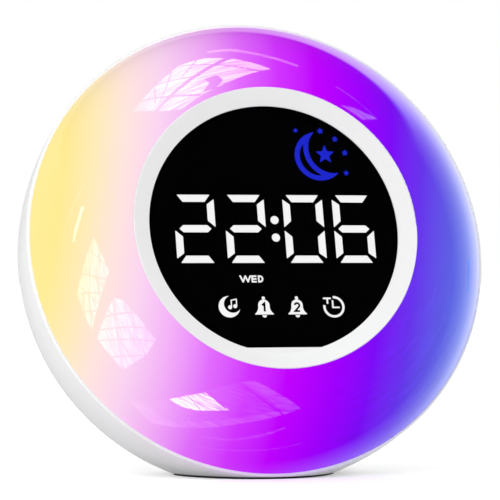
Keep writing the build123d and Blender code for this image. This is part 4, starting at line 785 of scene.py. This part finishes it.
# Bright things of the room, which only gloss sees. Each pane stands square to a direction (degrees round from
# the front, degrees up), with its corners and its glazing bars (two ends and a width) in metres across and up
# its plane. A fade dims it towards the left, between two places, down to a share.
room = {
    "distance": 1.5, "low": 1.4, "high": 6.4, "barLead": 0.01,
    "streakTurn": (0.3, 0.5, 0.7), "streakStretch": (1, 6, 1), "streakScale": 5.0, "streakDetail": 4,
    "streakSpan": (0.35, 0.65), "panes": {
        "archWindow": {
            "toward": (12, 78), "strength": 1.1, "color": (0.8, 1, 1, 1), "fade": (-0.55, -0.1, 0.25),
            "corners": ((-0.63, 0.09), (-0.36, 0.28), (-0.18, 0.43), (-0.1, 0.53), (0.09, 0.48),
                        (0.24, 0.26), (0.34, 0.01), (0.37, -0.09), (0.21, -0.24), (0.03, -0.44),
                        (-0.18, -0.63), (-0.37, -0.36)),
            "bars": ((0.28, 0.39, -0.42, -0.31, 0.06), (-0.12, 0.54, 0.31, -0.2, 0.018),
                     (-0.51, 0.17, -0.07, -0.51, 0.022), (-0.34, 0.29, -0.05, 0, 0.022),
                     (0.04, 0.51, -0.15, 0.16, 0.014), (-0.18, 0.44, -0.38, -0.19, 0.014),
                     (-0.37, 0.24, -0.41, -0.11, 0.014), (0, -0.12, 0.02, -0.3, 0.08),
                     (0.02, -0.28, -0.03, -0.46, 0.08)),
        },
        "sideWindow": {
            "toward": (-55, 8), "strength": 0.55,
            "corners": ((0.12, 0.44), (0.32, 0.32), (0.42, 0.22), (-0.31, -0.6), (-0.37, -0.41),
                        (-0.42, -0.22)),
            "bars": ((0.01, 0.29, 0.38, 0.26, 0.012), (-0.22, 0.02, 0.37, 0.12, 0.012),
                     (-0.39, -0.21, 0.22, -0.05, 0.012), (-0.38, -0.4, -0.01, -0.29, 0.012),
                     (0.12, 0.41, -0.3, -0.59, 0.012), (-0.18, 0.1, 0.3, 0, 0.01),
                     (-0.4, -0.1, 0.05, -0.2, 0.01), (-0.1, 0.16, -0.36, -0.45, 0.01),
                     (0.25, 0.36, 0.02, -0.3, 0.01)),
        },
        "lowWindow": {
            "toward": (-55, 8), "strength": 0.5,
            "corners": ((0.4, -0.03), (0.62, 0.02), (0.85, -0.07), (1.0, -0.26), (0.63, -0.64),
                        (-0.01, -1.09), (-0.26, -0.68)),
            "bars": ((0.08, -0.33, 0.77, -0.03, 0.015), (-0.13, -0.54, 0.9, -0.15, 0.015),
                     (-0.26, -0.71, 0.97, -0.29, 0.015), (-0.15, -0.91, 0.65, -0.62, 0.015),
                     (0.4, -0.03, -0.01, -1.09, 0.015), (0.62, 0.02, 0.63, -0.63, 0.012),
                     (0.2, -0.2, 0.8, -0.5, 0.012), (0, -0.42, 0.45, -0.8, 0.012),
                     (0.75, -0.02, 0.3, -0.9, 0.012)),
        },
        "skylight": {
            "toward": (-18, -34), "strength": 2.15, "color": (0.45, 0.9, 1, 1),
            "corners": ((-0.34, -0.13), (-0.08, 0.08), (0.15, 0.25), (0.29, -0.04), (-0.07, -0.19),
                        (-0.25, -0.21)),
            "bars": ((-0.08, 0.08, -0.02, -0.17, 0.012), (0.17, 0.26, 0.26, -0.02, 0.02)),
        },
        "tableTop": {
            "toward": (-18, -34), "strength": 0.07, "behind": 0.02,
            "corners": ((-0.48, -0.23), (0.13, 0.26), (0.8, 0.83), (0.99, -0.06), (0.76, -0.16),
                        (0.29, -0.36), (-0.24, -0.66), (-0.82, -1.04), (-1.08, -0.7)),
            "bars": ((-0.37, -0.15, -0.25, -0.6, 0.012), (0.62, 0.66, 0.81, -0.1, 0.03)),
        },
        "lowArc": {
            "toward": (-18, -34), "strength": 0.08,
            "corners": ((-0.2, -0.87), (0.17, -0.79), (0.55, -0.61), (0.8, -0.48), (0.8, -0.52),
                        (0.55, -0.69), (0.17, -0.87), (-0.2, -0.92)),
        },
        "footArc": {
            "toward": (-18, -34), "strength": 0.08,
            "corners": ((-0.44, -1.36), (0.12, -1.24), (1.04, -1.23), (1.04, -1.25), (0.12, -1.28),
                        (-0.44, -1.4)),
        },
        "tableEdge": {
            "toward": (-18, -34), "strength": 0.16,
            "corners": ((-0.9, -1.07), (-0.25, -0.68), (0.31, -0.35), (0.99, -0.04), (0.71, -0.03),
                        (0.29, -0.23), (-0.21, -0.5), (-0.58, -0.69)),
            "bars": ((-0.29, -0.4, -0.25, -0.71, 0.012), (0.79, 0, 0.84, -0.3, 0.03)),
        },
        "tableSide": {
            "toward": (-18, -34), "strength": 0.16,
            "corners": ((0.67, 0.72), (0.83, 0.84), (1.05, -0.02), (0.83, 0.01)),
        },
        "tableFoot": {
            "toward": (-18, -34), "strength": 0.13,
            "corners": ((-1.09, -0.69), (-0.89, -0.54), (-0.58, -0.69), (-0.9, -1.07)),
        },
        "slot": {
            "toward": (-67, 26), "strength": 0.9,
            "corners": ((0.02, 0.15), (0.09, 0.16), (-0.04, -0.18), (-0.11, -0.2)),
        },
        "highPane": {
            "toward": (53, 48), "strength": 0.3,
            "corners": ((-0.13, 0.04), (0.01, 0.05), (0.26, 0), (-0.08, -0.05)),
        },
        "blueSign": {
            "toward": (111, 2), "strength": 0.35, "color": (0, 0.5, 0.9, 1),
            "corners": ((-0.08, 0.09), (-0.01, 0.08), (-0.04, -0.1), (-0.08, -0.1)),
        },
        "highLine": {
            "toward": (53, 48), "strength": 0.14,
            "corners": ((0.25, 0.28), (0.27, 0.28), (0.27, 0.15), (0.25, 0), (0.235, 0), (0.25, 0.15)),
        },
        "farLine": {
            "toward": (53, 48), "strength": 0.12,
            "corners": ((1.5, 0.12), (1.36, -0.12), (1.13, -0.35), (1.14, -0.38), (1.39, -0.13),
                        (1.52, 0.11)),
        },
        "slotEcho": {
            "toward": (-67, 26), "strength": 0.25,
            "corners": ((-0.06, 0.35), (-0.04, 0.35), (-0.34, -0.17), (-0.36, -0.17)),
        },
        "topArc": {
            "toward": (122, 74), "strength": 0.3,
            "corners": ((0.3, 0.13), (0.2, 0.02), (-0.02, -0.01), (-0.34, -0.1), (-0.41, -0.05),
                        (-0.09, 0.04), (0.12, 0.08), (0.24, 0.17)),
        },
    },
}


def paneMaterial(name, strength, color, fade):
    # sky through old glass: brightness drifts in slanted streaks
    material, tree, shine = startGlow(name, color)
    place = objectPlace(tree)
    squeezed = tree.nodes.new("ShaderNodeMapping")
    squeezed.inputs["Rotation"].default_value = room["streakTurn"]
    squeezed.inputs["Scale"].default_value = room["streakStretch"]
    tree.links.new(place, squeezed.inputs["Vector"])
    streaks = addNoise(tree, squeezed.outputs["Vector"], room["streakScale"], room["streakDetail"])
    bright = mapRange(tree, streaks, *room["streakSpan"], strength * room["low"], strength * room["high"])
    faded = mapRange(tree, splitVector(tree, place)["X"], *fade)
    tree.links.new(mathNode(tree, "MULTIPLY", bright, faded), shine)
    material.cycles.emission_sampling = "NONE"
    return material


def makeWindowPane(name, values, barMaterial):
    azimuth, elevation = (math.radians(angle) for angle in values["toward"])
    toward = Vector((math.sin(azimuth) * math.cos(elevation), -math.cos(azimuth) * math.cos(elevation),
                     math.sin(elevation)))
    across = Vector((math.cos(azimuth), math.sin(azimuth), 0))
    up = toward.cross(across)
    up *= -1 if up.z < 0 else 1
    centre = seamCentre + toward * (room["distance"] + values.get("behind", 0))
    points = [centre + across * a + up * b for a, b in values["corners"]]
    faces = [tuple(range(len(points)))]
    nearer = centre - toward * room["barLead"]
    for a0, b0, a1, b1, width in values.get("bars", ()):
        along = Vector((a1 - a0, b1 - b0)).normalized() * width / 2
        first = len(points)
        for a, b in ((a0 - along.y, b0 + along.x), (a1 - along.y, b1 + along.x), (a1 + along.y, b1 - along.x),
                     (a0 + along.y, b0 - along.x)):
            points.append(nearer + across * a + up * b)
        faces.append((first, first + 1, first + 2, first + 3))
    mesh = bpy.data.meshes.new(name)
    mesh.from_pydata(points, [], faces)
    mesh.materials.append(paneMaterial(name, values["strength"], values.get("color", (1, 1, 1, 1)),
                                       values.get("fade", (-1, 1, 1))))
    mesh.materials.append(barMaterial)
    for face in mesh.polygons[1:]:
        face.material_index = 1
    pane = newObject(name, mesh)
    for kind in ("camera", "diffuse", "shadow", "transmission"):
        setattr(pane, "visible_" + kind, False)


def makeRoom():
    barMaterial, _, shine = startGlow("glazingBar", (1, 1, 1, 1))
    shine.default_value = 0
    for name, values in room["panes"].items():
        makeWindowPane(name, values, barMaterial)


makeRoom()
print("room windows placed")


def addLamp(name, place, target, size, power):
    data = bpy.data.lights.new(name, "AREA")
    data.shape = "RECTANGLE"
    data.size, data.size_y = size
    data.energy = power
    lamp = newObject(name, data)
    lamp.location = place
    lamp.rotation_euler = (Vector(target) - Vector(place)).to_track_quat("-Z", "Y").to_euler()
    lamp.visible_glossy = False


for name, values in studio["lamps"].items():
    addLamp(name, *values)


def makeWorld():
    # white wherever it is seen; gloss sees that white behind the clock and a dark room in front of it
    world = bpy.data.worlds.new("studioWorld")
    bpy.context.scene.world = world
    world.use_nodes = True
    tree = world.node_tree
    background = tree.nodes["Background"]
    background.inputs["Color"].default_value = (1, 1, 1, 1)
    path = tree.nodes.new("ShaderNodeLightPath").outputs
    axes = splitVector(tree, tree.nodes.new("ShaderNodeTexCoord").outputs["Generated"])
    behind = mapRange(tree, axes["Y"], *studio["whiteBehind"])
    below = mapRange(tree, axes["Z"], *studio["whiteBelow"], 1, 0)
    sideways = mapRange(tree, axes["X"], *studio["whiteSideways"], studio["leftShare"], 1)
    wall = mathNode(tree, "MULTIPLY", behind, mathNode(tree, "MULTIPLY", below, sideways))
    seenGlossy = mathNode(tree, "MULTIPLY", path["Is Glossy Ray"], wall)
    seen = mathNode(tree, "MAXIMUM", path["Is Camera Ray"],
                    mathNode(tree, "MAXIMUM", seenGlossy, path["Is Transmission Ray"]))
    ambient = mathNode(tree, "MULTIPLY", path["Is Diffuse Ray"], studio["ambient"])
    tree.links.new(mathNode(tree, "ADD", seen, ambient), background.inputs["Strength"])


makeWorld()
bpy.context.scene.view_settings.view_transform = "Standard"
print("studio lit")
